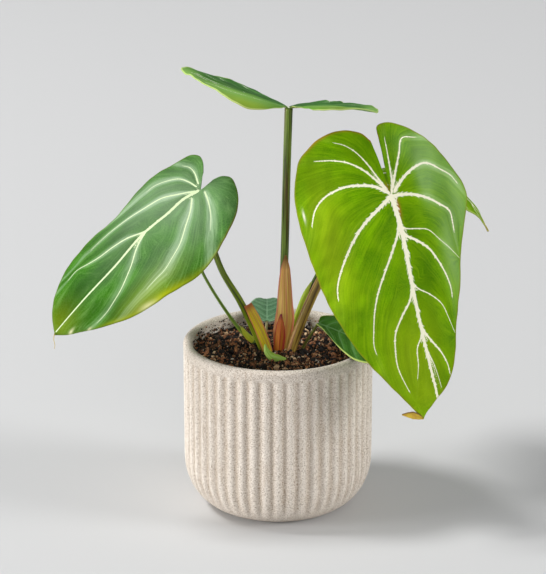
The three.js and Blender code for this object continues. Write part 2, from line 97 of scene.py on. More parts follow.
def new_material(name):
    """An empty material and the shader that its last nodes feed."""
    material = bpy.data.materials.new(name)
    material.use_nodes = True
    return material, material.node_tree.nodes["Principled BSDF"]


def paint(material, base, layers):
    """Lays colours over a base colour. Each layer gives the output that it follows, the values at which it
    begins and is full, its strength there and its colour, and says soft where it comes in gently."""
    for follows, begins, full, strength, colour, *soft in layers:
        mask = add(material, "MapRange", {"Value": follows, "From Min": begins, "From Max": full,
                                          "To Max": strength},
                   interpolation_type="SMOOTHSTEP" if soft else "LINEAR")
        base = add(material, "Mix", {0: mask, 6: base, 7: linear(colour)}, output=2, data_type="RGBA")
    return base


def deselect():
    """Leaves edit mode and deselects everything."""
    if bpy.context.object and bpy.context.object.mode != "OBJECT":
        bpy.ops.object.mode_set(mode="OBJECT")
    bpy.ops.object.select_all(action="DESELECT")


def weld(distance, outwards=False):
    """Merges the active piece's corners that lie together and smooths its shading. The faces of a closed
    piece are turned outwards too."""
    bpy.ops.object.mode_set(mode="EDIT")
    bpy.ops.mesh.select_all(action="SELECT")
    bpy.ops.mesh.remove_doubles(threshold=distance * MM)
    if outwards:
        bpy.ops.mesh.normals_make_consistent(inside=False)
    bpy.ops.object.mode_set(mode="OBJECT")
    bpy.ops.object.shade_smooth()


def finish_piece(piece, name, material, replaced=()):
    """Names a piece, gives it its material, and fixes it to the plant's one body."""
    piece.name = name
    piece.data.name = name
    piece.data.materials.append(material)
    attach(piece, "root")
    if replaced:
        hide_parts(*replaced)


def corners(piece):
    """The piece's corners in millimetres, one row for each."""
    flat = np.empty(len(piece.data.vertices) * 3)
    piece.data.vertices.foreach_get("co", flat)
    return flat.reshape(-1, 3) / MM


def move_corners(piece, places):
    """Moves each corner to its place in millimetres."""
    piece.data.vertices.foreach_set("co", (places * MM).ravel())
    piece.data.update()


def mark(piece, label, values):
    """Stores one number for each corner, which a material reads under the label."""
    piece.data.attributes.new(label, "FLOAT", "POINT").data.foreach_set("value", values)


def arc_radius(height, foot_radius, full_radius, curve):
    """The radius of a wall that rises from its foot in a quarter of an oval."""
    rise = min(max(height / curve, 0), 1)
    return foot_radius + (full_radius - foot_radius) * math.sqrt(1 - (1 - rise) ** 2)


def pot_profile():
    """Places (radius, height) from the foot's edge, up the outside, over the lip and down to the floor."""
    outer = [BOTTOM_CURVE * (1 - math.cos(a)) for a in np.linspace(0.12, math.pi / 2, RINGS["bottom"])]
    outer += list(np.linspace(BOTTOM_CURVE + RING_GAP, FLUTE_ENDS[2], RINGS["wall"])) + FLUTE_TOP_RINGS
    profile = [(arc_radius(h, FOOT_RADIUS, POT_RADIUS, BOTTOM_CURVE), h) for h in outer]
    middle = POT_RADIUS - WALL / 2
    for turn in np.radians(np.linspace(85, -85, RINGS["lip"])):
        profile.append((middle + WALL / 2 * math.sin(turn), POT_HEIGHT - LIP_ROUND * (1 - math.cos(turn))))
    inner = list(np.linspace(POT_HEIGHT - CAVITY_FLOOR - RING_GAP, CAVITY_CURVE, RINGS["cavity"]))
    inner += [CAVITY_CURVE * (1 - math.cos(a)) for a in np.linspace(1.4, 0, RINGS["cavity_floor"])]
    full = POT_RADIUS - WALL
    profile += [(arc_radius(h, CAVITY_FOOT_RADIUS, full, CAVITY_CURVE), CAVITY_FLOOR + h) for h in inner]
    return profile


def turned(profile, columns):
    """A body of revolution: a disc whose rim is extruded from ring to ring and closed at the last one."""
    deselect()
    last_radius, last_height = profile[0][0], 0
    bpy.ops.mesh.primitive_circle_add(vertices=columns, radius=last_radius * MM, fill_type="TRIFAN")
    piece = bpy.context.object
    bpy.ops.object.mode_set(mode="EDIT")
    bpy.ops.mesh.select_mode(type="EDGE")
    bpy.ops.mesh.select_all(action="DESELECT")
    bpy.ops.mesh.select_non_manifold()
    for radius, height in profile:
        rise = (0, 0, (height - last_height) * MM)
        bpy.ops.mesh.extrude_region_move(TRANSFORM_OT_translate={"value": rise})
        grow = radius / last_radius
        bpy.ops.transform.resize(value=(grow, grow, 1), center_override=(0, 0, 0))
        last_radius, last_height = radius, height
    bpy.ops.mesh.merge(type="CENTER")
    weld(0.001, outwards=True)
    return piece


def press_flutes(piece):
    """Sinks the outside of the wall between the ribs, fading out under the lip and on the rounded bottom,
    and marks the grooves for painted shade and the crests of the ribs for a painted highlight."""
    x, y, z = corners(piece).T
    radius = np.hypot(x, y)
    wave = 0.5 * np.cos(POT_FLUTES * np.arctan2(y, x))
    low, full_low, full_high, high = FLUTE_ENDS
    from_low = np.clip((z - low) / (full_low - low), 0, 1)
    from_high = np.clip((high - z) / (high - full_high), 0, 1)
    strength = np.sqrt(from_low ** 2 * (3 - 2 * from_low)) * from_high ** 2 * (3 - 2 * from_high)
    wall = np.array([arc_radius(h, FOOT_RADIUS, POT_RADIUS, BOTTOM_CURVE) for h in z])
    strength *= radius > wall - 1
    groove = strength * (0.5 - wave) ** GROOVE_SHARPNESS
    scale = 1 - FLUTE_DEPTH * groove / np.maximum(radius, 0.001)
    move_corners(piece, np.column_stack([x * scale, y * scale, z]))
    mark(piece, "groove", groove)
    mark(piece, "crest_highlight", strength * (0.5 + wave) ** CREST_SHARPNESS)


# Unglazed stoneware, fired from a buff clay with iron specks. It looks dry and chalky, with a soft mottle
# 20 mm wide, faint upright drag marks 2 mm wide, pale sand and brown specks up to 1 mm, and a fine grit of
# 0.7 mm. A painted highlight lies on the crests of the ribs, and painted shade darkens the grooves.
def stoneware():
    material, shader = new_material("unglazed_stoneware")
    place = add(material, "TexCoord", output="Object")
    mottle = add(material, "TexNoise", {"Vector": place, "Scale": 55, "Detail": 5, "Roughness": 0.6})
    # The grooves take painted shade, and the crests of the ribs a painted highlight.
    groove = add(material, "Attribute", output="Fac", attribute_name="groove")
    crest_highlight = add(material, "Attribute", output="Fac", attribute_name="crest_highlight")
    upright = add(material, "Mapping", {"Vector": place, "Scale": (1, 1, 0.12)})
    drag = add(material, "TexNoise", {"Vector": upright, "Scale": 420})
    sand = add(material, "TexNoise", {"Vector": place, "Scale": 1050, "Detail": 3, "Roughness": 0.7})
    clay = paint(material, linear("#c9bdaf"), [
        (mottle, 0, 1, 1, "#dad0c5"), (groove, 0.45, 1, 0.36, "#a59078", "soft"),
        (crest_highlight, 0, 1, 0.42, "#f4ebdf"), (drag, 0.55, 0.8, 0.45, "#b9a48c"),
        (sand, 0.46, 0.3, 0.7, "#fbf3e8"), (sand, 0.52, 0.64, 0.75, "#7d664f")])
    grit = add(material, "TexNoise", {"Vector": place, "Scale": 1500})
    bump = add(material, "Bump", {"Height": grit, "Strength": 0.25, "Distance": 0.0004})
    plug(material, shader, {"Base Color": clay, "Normal": bump, "Roughness": 0.88})
    return material


pot = turned(pot_profile(), POT_COLUMNS)
press_flutes(pot)
finish_piece(pot, "fluted_pot", stoneware(), ["pot"])

# The potting mix: composted bark, coco and peat crumbs from 1 to 8 mm with white perlite, poured in and
# watered down. A plain solid is the bed, and loose crumbs and perlite cover all of its top.
MIX_LEVEL = 122.4
MIX_RADIUS = 66.8
# How far the bed rises to the pot's wall at the back left, and falls to it all round.
BACK_LEFT_RISE = 4.5
RIM_FALL = 1.2
# A higher power leaves fewer large crumbs among the small ones.
CRUMB_SIZE_POWER = 2.2
# The least and the most that a crumb's width is of its length.
CRUMB_NARROWNESS = (0.4, 1)
# How far past its radius a scatter may reach before its crumbs are drawn back.
CRUMB_OVERHANG = 0.7
# Grains of perlite that lie in sight at the back left, before the rest is scattered.
PERLITE_SPOTS = [(-43, 39), (-38, 46), (-33, 30)]
# Crumbs that stick to the pot's inner wall after watering: how many, and how far they lie over the mix. Two
# thirds of them are at the back left, and the rest at the back right.
WALL_CRUMBS = {"low": (420, (-0.5, 4)), "high": (170, (3, 9.5))}
random = np.random.default_rng(11)


def mix_height(x, y):
    """The bed's height, a little uneven and higher against the pot at the back left."""
    rim = np.hypot(x, y) / POT_RADIUS
    back_left = np.maximum(0, (y - x) / (math.sqrt(2) * POT_RADIUS))
    bumps = 0.5 * np.sin(x / 9 + 1) * np.cos(y / 11) + 0.4 * np.sin(x / 4.7 - y / 6.1)
    return MIX_LEVEL + bumps + BACK_LEFT_RISE * back_left * rim ** 3 - RIM_FALL * rim ** 4


def random_turns(count):
    """Random rotations, one matrix for each crumb."""
    quaternions = random.normal(size=(4, count))
    w, x, y, z = quaternions / np.linalg.norm(quaternions, axis=0)
    return np.moveaxis(np.array([
        [1 - 2 * (y * y + z * z), 2 * (x * y - z * w), 2 * (x * z + y * w)],
        [2 * (x * y + z * w), 1 - 2 * (x * x + z * z), 2 * (y * z - x * w)],
        [2 * (x * z - y * w), 2 * (y * z + x * w), 1 - 2 * (x * x + y * y)],
    ]), 2, 0)


def scatter(name, material, count, sizes, flatness, lift, radius, dent, spots=()):
    """One piece of many crumbs within a radius. A small ball is made once, then copied with its own size,
    flatness, turn and dents, lifted off the bed, and placed at the spots first."""
    deselect()
    bpy.ops.mesh.primitive_ico_sphere_add(subdivisions=1, radius=MM)
    ball = bpy.context.object
    shape = corners(ball)
    faces = np.array([face.vertices[:] for face in ball.data.polygons])
    bpy.data.objects.remove(ball)
    size = np.interp(random.random(count) ** CRUMB_SIZE_POWER, (0, 1), sizes)
    distance = (radius - size * 0.5) * np.sqrt(random.random(count))
    turn = random.random(count) * 2 * math.pi
    x, y = distance * np.cos(turn), distance * np.sin(turn)
    if len(spots):
        x[:len(spots)], y[:len(spots)] = np.array(spots).T
    z = mix_height(x, y) + np.interp(random.random(count), (0, 1), lift)
    stretch = np.column_stack([np.ones(count), np.interp(random.random(count), (0, 1), CRUMB_NARROWNESS),
                               np.interp(random.random(count), (0, 1), flatness)])
    dented = shape[None] * (1 + dent * (random.random((count, len(shape), 1)) - 0.5))
    local = dented * (stretch * size[:, None] / 2)[:, None]
    places = np.einsum("nij,nvj->nvi", random_turns(count), local) + np.stack([x, y, z], 1)[:, None]
    # What would stand in the pot's wall is drawn back inside it.
    across = np.hypot(places[..., 0], places[..., 1])
    places[..., :2] *= np.minimum(1, (radius + CRUMB_OVERHANG) / np.maximum(across, 0.001))[..., None]
    all_faces = (faces[None] + (np.arange(count) * len(shape))[:, None, None]).reshape(-1, 3)
    mesh = bpy.data.meshes.new(name)
    mesh.from_pydata(places.reshape(-1, 3) * MM, [], all_faces, shade_flat=False)
    piece = bpy.data.objects.new(name, mesh)
    bpy.context.collection.objects.link(piece)
    mark(piece, "tone", np.repeat(random.random(count), len(shape)))
    finish_piece(piece, name, material)


def paint_solid(node, material):
    """Gives one of the plain solids that are shown as they are its material."""
    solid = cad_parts[node]
    solid.data.materials.clear()
    solid.data.materials.append(material)


# Damp composted bark: nearly black where wet, with chestnut and tan chips. It is dull, and its grain is
# fibrous, about 1 mm from fibre to fibre.
def bark_mix():
    material, shader = new_material("damp_bark_mix")
    place = add(material, "TexCoord", output="Object")
    tone = add(material, "Attribute", output="Fac", attribute_name="tone")
    fibre = add(material, "TexNoise", {"Vector": place, "Scale": 900, "Detail": 3})
    brown = paint(material, linear("#150d08"), [
        (tone, 0.46, 0.7, 1, "#b3754c"), (tone, 0.87, 0.97, 1, "#f0cca0"),
        (fibre, 0.4, 0.7, 0.75, "#170e09")])
    bump = add(material, "Bump", {"Height": fibre, "Strength": 0.6, "Distance": 0.0005})
    plug(material, shader, {"Base Color": brown, "Normal": bump, "Roughness": 0.82})
    return material


# Expanded perlite: brittle white volcanic foam, chalky, with stains of about 1.5 mm from the mix.
def perlite_grain():
    material, shader = new_material("expanded_perlite")
    place = add(material, "TexCoord", output="Object")
    stain = add(material, "TexNoise", {"Vector": place, "Scale": 700, "Detail": 3})
    white = paint(material, linear("#f2eadc"), [(stain, 0.45, 0.75, 1, "#a78f76")])
    plug(material, shader, {"Base Color": white, "Roughness": 0.9})
    return material


bark = bark_mix()
paint_solid("soil", bark)
scatter("mix_crumbs", bark, 9500, sizes=(0.8, 3.6), flatness=(0.4, 0.85), lift=(-1.5, 1.5),
        radius=MIX_RADIUS, dent=0.8)
scatter("bark_chips", bark, 620, sizes=(2.8, 8.0), flatness=(0.22, 0.45), lift=(-0.2, 2.2),
        radius=MIX_RADIUS - 2, dent=0.4)
scatter("perlite_grains", perlite_grain(), 72, sizes=(1.0, 2.8), flatness=(0.7, 1.0), lift=(0.5, 1.6),
        radius=MIX_RADIUS - 1, dent=0.4, spots=PERLITE_SPOTS)
for level, (count, lift) in WALL_CRUMBS.items():
    turns = [random.uniform(112, 192, count * 2 // 3), random.uniform(22, 70, count)]
    turns = np.radians(np.concatenate(turns)[:count])
    scatter("wall_crumbs_" + level, bark, count, sizes=(0.7, 2.2), flatness=(0.5, 0.9), lift=lift,
            radius=MIX_RADIUS + 0.2, dent=0.7,
            spots=MIX_RADIUS * np.column_stack([np.cos(turns), np.sin(turns)]))

# The rhizome: the creeping stem under the mix, in corky brown skin with a grain 3 mm wide. The mix hides it,
# so its plain solid is shown as it is.
def corky_skin():
    material, shader = new_material("corky_rhizome_skin")
    place = add(material, "TexCoord", output="Object")
    grain = add(material, "TexNoise", {"Vector": place, "Scale": 300, "Detail": 4})
    cork = paint(material, linear("#5a4629"), [(grain, 0, 1, 1, "#8f7a52")])
    plug(material, shader, {"Base Color": cork})
    return material


paint_solid("rhizome", corky_skin())

# The blades: living leaves about 0.9 mm thick, broad hearts with cream veins sunk into a velvety upper skin
# that bulges softly between them. Each grew flat on its midrib, then arched and waved under its own weight.
# at, heading, dip and roll place a leaf's own plane, in which the outlines give each half's margin from the
# sinus to near the tip, in millimetres along the midrib and across it. bend arches the midrib and lobe_bend
# the lobes, fold and twist tilt the halves, curl arches them, and wave gives the height, number and start of
# the margin's waves. The first share of the rows, lobe_share, fans out over the lobes.
LEAVES = {
    "left": {
        "at": (-60, -5, 260), "heading": -147, "dip": 30.5, "roll": 26, "bend": 14, "lobe_bend": (14, 14),
        "fold": (3, 3), "twist": (0, 0), "curl": (34, 32), "tip": (159, 6), "thickness": 0.9,
        "wave": (1.6, 3.5, 0.6), "rows": 210, "columns": 56, "lobe_share": 0.36,
        "outlines": (
            [(-12.4, 10.5), (-18.5, 17.5), (-21, 24.5), (-17.5, 31.5), (-8, 35.5), (10, 39), (38, 38),
             (66, 36), (92, 37), (115, 37), (135, 28), (151, 15)],
            [(-13.8, -1.6), (-20, -3.8), (-23.6, -9.5), (-20.5, -19), (-13, -29), (0, -39), (23, -48),
             (50, -52), (78, -47), (107, -37), (133, -22), (152, -4)],
        ),
    },
    "right": {
        "at": (86, -30, 264), "heading": -63.5, "dip": 60, "roll": -5, "bend": 12, "lobe_bend": (12, 12),
        "fold": (3, 3), "twist": (0, 0), "curl": (28, 40), "tip": (173, 4), "thickness": 0.9,
        "wave": (1.8, 4.5, 1.9), "rows": 230, "columns": 64, "lobe_share": 0.38,
        "outlines": (
            [(-44, 6), (-53, 14), (-57, 30), (-53, 46), (-46, 57), (-39, 65), (-17, 73), (17, 76), (48, 71),
             (82, 64), (113, 49), (143, 29), (162, 13)],
            [(-46, -2), (-56, -4), (-57, -16), (-46, -34), (-29, -52), (-8, -66), (5, -69), (30, -60),
             (62, -47), (98, -37), (128, -29), (151, -19), (165, -5)],
        ),
    },
    "top": {
        "at": (8, 8, 322.5), "heading": 90, "dip": 14.5, "roll": 0, "bend": 0.5, "lobe_bend": (13, 50),
        "fold": (5, 16.2), "twist": (5, 7), "curl": (22, -6), "tip": (150, 0), "thickness": 0.9,
        "wave": (0.9, 3.5, 2.4), "rows": 190, "columns": 56, "lobe_share": 0.38,
        "outlines": (
            [(-9, 3), (-22, 12), (-36, 22), (-42, 36), (-28, 52), (-6, 66), (14, 70), (42, 66), (76, 53),
             (110, 33), (136, 12)],
            [(-12, -4), (-26, -12), (-40, -22), (-46, -34), (-41, -47), (-27, -61), (-8, -78), (10, -88),
             (40, -82), (75, -64), (108, -40), (136, -15)],
        ),
    },
    "right_back": {
        "at": (73.5, 28, 262), "heading": 0, "dip": -17, "roll": 0, "bend": 76, "lobe_bend": (30, 30),
        "fold": (-13, -7), "twist": (0, 0), "curl": (14, 14), "tip": (114, 0), "thickness": 0.8,
        "wave": (0.8, 2.5, 0.2), "rows": 110, "columns": 30, "lobe_share": 0.34,
        "outlines": (
            [(-11, 3), (-14, 11), (-9, 21), (6, 28), (28, 29), (52, 25), (78, 18), (100, 8)],
            [(-11, -3), (-14, -11), (-9, -21), (6, -28), (28, -29), (52, -25), (78, -18), (100, -8)],
        ),
    },
    "left_small": {
        "at": (-66, 12, 208), "heading": 178, "dip": 8, "roll": 12, "bend": 26, "lobe_bend": (26, 26),
        "fold": (4, 4), "twist": (0, 0), "curl": (30, 30), "tip": (62, 0), "thickness": 0.8,
        "wave": (0.6, 2.5, 1.1), "rows": 90, "columns": 26, "lobe_share": 0.34,
        "outlines": (
            [(-9, 2), (-12, 8), (-7, 17), (6, 21), (22, 20), (40, 13), (54, 5)],
            [(-9, -2), (-12, -8), (-7, -17), (6, -21), (22, -20), (40, -13), (54, -5)],
        ),
    },
    "right_small": {
        "at": (31.8, -4, 150.3), "heading": -46, "dip": 0, "roll": -22, "bend": 22, "lobe_bend": (22, 22),
        "fold": (5, 5), "twist": (0, 0), "curl": (20, 20), "tip": (80, 0), "thickness": 0.8,
        "wave": (0.5, 2.5, 0.9), "rows": 100, "columns": 26, "lobe_share": 0.2,
        "outlines": (
            [(-1, 2), (8, 4), (21, 9), (38, 16), (54, 18.5), (67, 15), (75, 8)],
            [(-2, -3), (-3, -7), (6, -13), (20, -18), (38, -20), (55, -17), (70, -9)],
        ),
    },
    "back_small": {
        "at": (-8.9, 48, 134.2), "heading": 90, "dip": -29, "roll": 0, "bend": 112, "lobe_bend": (60, 60),
        "fold": (8, 8), "twist": (0, 0), "curl": (60, 60), "tip": (44, 0), "thickness": 0.8,
        "wave": (0.4, 2.5, 0.4), "rows": 80, "columns": 22, "lobe_share": 0.22,
        "outlines": (
            [(-2, 2), (-1, 6), (6, 11), (15, 14.5), (25, 14), (36, 8)],
            [(-2, -2), (-1, -5), (6, -9), (15, -13), (25, -13), (36, -8)],
        ),
    },
}
# A leaf's bend, twist and curl are given in degrees over this many millimetres.
BEND_LENGTH = 100
# The pattern charts of the leaves and stalks are scaled to this many millimetres.
CHART_LENGTH = 100
# How many places the smooth margins, the midrib and the side veins are read at, and how many steps a smooth
# line takes from point to point.
MARGIN_PLACES = 600
MIDRIB_PLACES = 40
SIDE_VEIN_PLACES = 26
LINE_STEPS = 40
# How far a side vein is carried on past its end, to tell which veins a place lies between.
CARRY_ON = 60
# The depth and the width of the groove beside a vein, and how far from a vein the skin begins to bulge and
# to rumple in full.
GROOVE_DEPTH = 0.3
GROOVE_REACH = 1.3
BULGE_REACH = 7
RUMPLE_REACH = 5
# The barbs on a vein's edges: how far they sweep forward for each millimetre out, how far out they reach, and
# how much the edge dips between them.
BARB_SWEEP = 1.6
BARB_REACH = 1.1
BARB_DIP = 0.12
# Seeds and lengths of the skin's uneven rumple and of the margin's frill, and how many waves make up each.
RUMPLE_WAVES = (5, 16)
FRILL_WAVES = (9, 15)
WAVES = 9


def flat_grid(rows, columns):
    """A flat grid that is about to be shaped, with its corners' u from 0 to 1 along it and v from -1 to 1
    across it."""
    deselect()
    bpy.ops.mesh.primitive_grid_add(x_subdivisions=columns, y_subdivisions=rows, size=2)
    piece = bpy.context.object
    v, y, _ = (corners(piece) * MM).T
    return piece, (y + 1) / 2, v


def lay_chart(piece, name, across, along):
    """Gives each corner its place on the flat chart that the piece's patterns follow."""
    corner = np.empty(len(piece.data.loops), int)
    piece.data.loops.foreach_get("vertex_index", corner)
    chart = piece.data.uv_layers[0] if piece.data.uv_layers else piece.data.uv_layers.new()
    chart.name = name
    chart.data.foreach_set("uv", np.column_stack([across, along])[corner].ravel())


def thicken(piece, thickness):
    """Gives a thin shell its body, evenly to both sides."""
    body = piece.modifiers.new("body", "SOLIDIFY")
    body.thickness = thickness * MM
    body.offset = 0
    bpy.ops.object.modifier_apply(modifier="body")


def smooth_line(points, count):
    """Evenly spaced places on a smooth curve through the points, its ends carried on by their own slope."""
    p = np.array(points, float)
    p = np.vstack([2 * p[0] - p[1], p, 2 * p[-1] - p[-2]])
    fine = []
    for a, b, c, d in zip(p[:-3], p[1:-2], p[2:-1], p[3:]):
        before, here, after = (max(np.linalg.norm(q - r), 0.0001) ** 0.5 for q, r in ((b, a), (c, b), (d, c)))
        leave = ((b - a) / before - (c - a) / (before + here) + (c - b) / here) * here
        arrive = ((c - b) / here - (d - b) / (here + after) + (d - c) / after) * here
        u = np.linspace(0, 1, LINE_STEPS, endpoint=False)[:, None]
        fine.append(b + leave * u + (3 * (c - b) - 2 * leave - arrive) * u ** 2
                    + (2 * (b - c) + leave + arrive) * u ** 3)
    fine = np.vstack(fine + [p[-2:-1]])
    length = np.concatenate([[0], np.cumsum(np.linalg.norm(np.diff(fine, axis=0), axis=1))])
    spaced = np.linspace(0, length[-1], count)
    return np.column_stack([np.interp(spaced, length, column) for column in fine.T])


def net_place(leaf, u, v):
    """Leaf coordinates at u along the margin from sinus to tip and v across, from -1 to 1."""
    u = np.clip(u, 0, 1)
    share = np.maximum(0, (u - leaf["lobe_share"]) / (1 - leaf["lobe_share"]))
    s, t = leaf["tip"][0] * share, leaf["tip"][1] * share ** 2
    spaced = np.linspace(0, 1, MARGIN_PLACES)
    margins = [smooth_line(outline + [leaf["tip"]], MARGIN_PLACES) for outline in leaf["outlines"]]
    first, second = [[np.interp(u, spaced, column) for column in margin.T] for margin in margins]
    edge_s, edge_t = [np.where(v >= 0, a, b) for a, b in zip(first, second)]
    across = np.abs(v)
    return s + (edge_s - s) * across, t + (edge_t - t) * across


def leaf_axes(leaf):
    """The leaf plane's directions: along the midrib, across it and up from it."""
    heading, dip, roll = (math.radians(leaf[name]) for name in ("heading", "dip", "roll"))
    forward = np.array([math.cos(heading) * math.cos(dip), math.sin(heading) * math.cos(dip), -math.sin(dip)])
    level = np.array([math.sin(heading), -math.cos(heading), 0])
    raised = np.cross(level, forward)
    across = level * math.cos(roll) + raised * math.sin(roll)
    return forward, across, raised * math.cos(roll) - level * math.sin(roll)


def leaf_to_space(leaf, s, t, lift):
    """Carries leaf coordinates into space, over the arched midrib and the arched halves."""
    forward, across, up = leaf_axes(leaf)
    per_mm = math.radians(1) / BEND_LENGTH
    lobe_bend, fold, twist, curl = (np.where(t >= 0, *leaf[name])
                                    for name in ("lobe_bend", "fold", "twist", "curl"))
    bend = np.where(s >= 0, leaf["bend"], lobe_bend) * per_mm
    turn = bend * s
    fold = np.radians(fold) + twist * per_mm * np.maximum(s, 0)
    curl = curl * per_mm
    outer = fold - curl * np.abs(t)
    out = (np.sin(fold) - np.sin(outer)) / curl
    rise = (np.cos(outer) - np.cos(fold)) / curl + lift
    side = (np.sign(t) * out)[:, None] * across
    ahead = (np.sin(turn) / bend + rise * np.sin(turn))[:, None] * forward
    above = ((np.cos(turn) - 1) / bend + rise * np.cos(turn))[:, None] * up
    return np.array(leaf["at"]) + side + ahead + above


def line_places(s, t, line, half_width, thin_to):
    """For each place: its distance from a vein's middle, signed by side, the vein's half width there and
    how far along the vein it lies."""
    nearest, across, along = np.full((3,) + s.shape, 1e3)
    lengths = np.hypot(*np.diff(line, axis=0).T)
    starts = np.concatenate([[0], np.cumsum(lengths)])
    for a, b, start, length in zip(line[:-1], line[1:], starts, lengths):
        span = (b - a) / length
        reach = np.clip((s - a[0]) * span[0] + (t - a[1]) * span[1], 0, length)
        off_s, off_t = s - a[0] - reach * span[0], t - a[1] - reach * span[1]
        away = np.hypot(off_s, off_t)
        here = away < nearest
        nearest = np.where(here, away, nearest)
        across = np.where(here, np.where(span[0] * off_t > span[1] * off_s, away, -away), across)
        along = np.where(here, start + reach, along)
    return across, half_width * (1 + (thin_to - 1) * along / starts[-1]), along


def growth_lines(s, t, lines):
    """Two numbers that are constant along lines which run between neighbouring side veins as the veins do:
    one that grows from vein to vein, and the share of the way from the nearest vein to the next."""
    away = []
    for line in lines:
        ahead = (line[-1] - line[-2]) / np.linalg.norm(line[-1] - line[-2])
        carried_on = np.vstack([line, line[-1] + CARRY_ON * ahead])
        away.append(np.abs(line_places(s, t, carried_on, 1, 1)[0]))
    first, second = np.argsort(away, axis=0)[:2]
    near, next_near = np.sort(away, axis=0)[:2]
    share = near / np.maximum(near + next_near, 0.001)
    return first + (second - first) * share, share


def veins_by_growth(leaf, starts, sweep=0.12, reach=0.9):
    """Side veins that follow the net from the midrib and sweep towards the tip."""
    v = np.linspace(0.02, reach, 9)
    return [np.column_stack(net_place(leaf, start + sweep * v ** 2, side * v))
            for side in (1, -1) for start in starts]


# What changes the colour of a blade here and there, each painted over the one before. The deepening
# patches are painted shade, and the silvering patches are painted sheen.
PATCHES = ("deepening", "sheen_silvering", "yellowing", "browning", "paling")
NO_PATCHES = {patch: [] for patch in PATCHES}


def patch_strength(s, t, rim, patches):
    """Soft oval patches, each given as its middle, its half lengths along s and t, and its strength. A
    sixth number keeps the patch within about that distance of the margin."""
    total = np.zeros(s.shape)
    for middle_s, middle_t, reach_s, reach_t, strength, *hug in patches:
        patch = strength * np.exp(-((s - middle_s) / reach_s) ** 2 - ((t - middle_t) / reach_t) ** 2)
        total += patch * np.exp(-(rim / hug[0]) ** 2) if hug else patch
    return np.clip(total, 0, 1)


def ripple(s, t, seed, length):
    """A smooth unevenness from -1 to 1 with bulges about that long."""
    waves = np.random.default_rng(seed)
    total = np.zeros(s.shape)
    for _ in range(WAVES):
        turn, phase = waves.random(2) * 2 * math.pi
        stretch = 2 * math.pi / (length * (0.7 + 0.8 * waves.random()))
        total += np.sin(stretch * (s * math.cos(turn) + t * math.sin(turn)) + phase)
    return 2 * total / WAVES


def grow_blade(name, midrib, side_veins, looks):
    """Shapes a flat grid into a blade, with its veins sunk and its skin bulging, then gives it a body."""
    leaf = LEAVES[name]
    blade, u, v = flat_grid(leaf["rows"], 2 * leaf["columns"])
    s, t = net_place(leaf, u, v)
    lines = [smooth_line(line, SIDE_VEIN_PLACES) for line in side_veins]
    across, width, along = line_places(s, t, smooth_line(midrib, MIDRIB_PLACES), *looks["midrib_width"])
    half_width, thin_to = looks["vein_width"]
    for line, breadth in zip(lines, looks.get("vein_breadths", [1] * len(lines))):
        place = line_places(s, t, line, half_width * breadth, thin_to)
        nearer = np.abs(place[0]) - place[1] < np.abs(across) - width
        across, width, along = (np.where(nearer, new, old) for new, old in zip(place, (across, width, along)))
    gap = np.abs(across) - width
    clear = np.maximum(gap, 0)
    height, count, phase = leaf["wave"]
    lift = height * np.sin(2 * math.pi * count * u + phase + (v < 0)) * v ** 2
    lift += looks["bulge"] * (1 - np.exp(-(clear / BULGE_REACH) ** 2)) * (1 - np.abs(v) ** 6)
    lift -= GROOVE_DEPTH * np.exp(-(clear / GROOVE_REACH) ** 2)
    lift += looks["rumple"] * ripple(s, t, *RUMPLE_WAVES) * (1 - np.exp(-(clear / RUMPLE_REACH) ** 2))
    lift += looks["frill"] * ripple(s, t, *FRILL_WAVES) * np.abs(v) ** 5
    move_corners(blade, leaf_to_space(leaf, s, t, lift))
    edge_s, edge_t = net_place(leaf, u, np.where(v < 0, -1.0, 1.0))
    rim = np.hypot(s - edge_s, t - edge_t)
    growth, between = growth_lines(s, t, lines)
    marks = {"vein_gap": gap, "vein_across": across, "vein_width": width, "vein_along": along,
             "growth_line": growth, "between": between, "rim_gap": rim, "side": v}
    marks.update({patch: patch_strength(s, t, rim, looks[patch]) for patch in PATCHES})
    for label, values in marks.items():
        mark(blade, label, values)
    lay_chart(blade, "leaf_chart", s / CHART_LENGTH, t / CHART_LENGTH)
    weld(0.02)
    up = leaf_axes(leaf)[2]
    if sum(np.dot(up, face.normal) for face in blade.data.polygons) < 0:
        bpy.ops.object.mode_set(mode="EDIT")
        bpy.ops.mesh.flip_normals()
        bpy.ops.object.mode_set(mode="OBJECT")
    thicken(blade, leaf["thickness"])
    finish_piece(blade, "leaf_" + name, leaf_skin(name + "_leaf_skin", looks), ["blade_" + name])
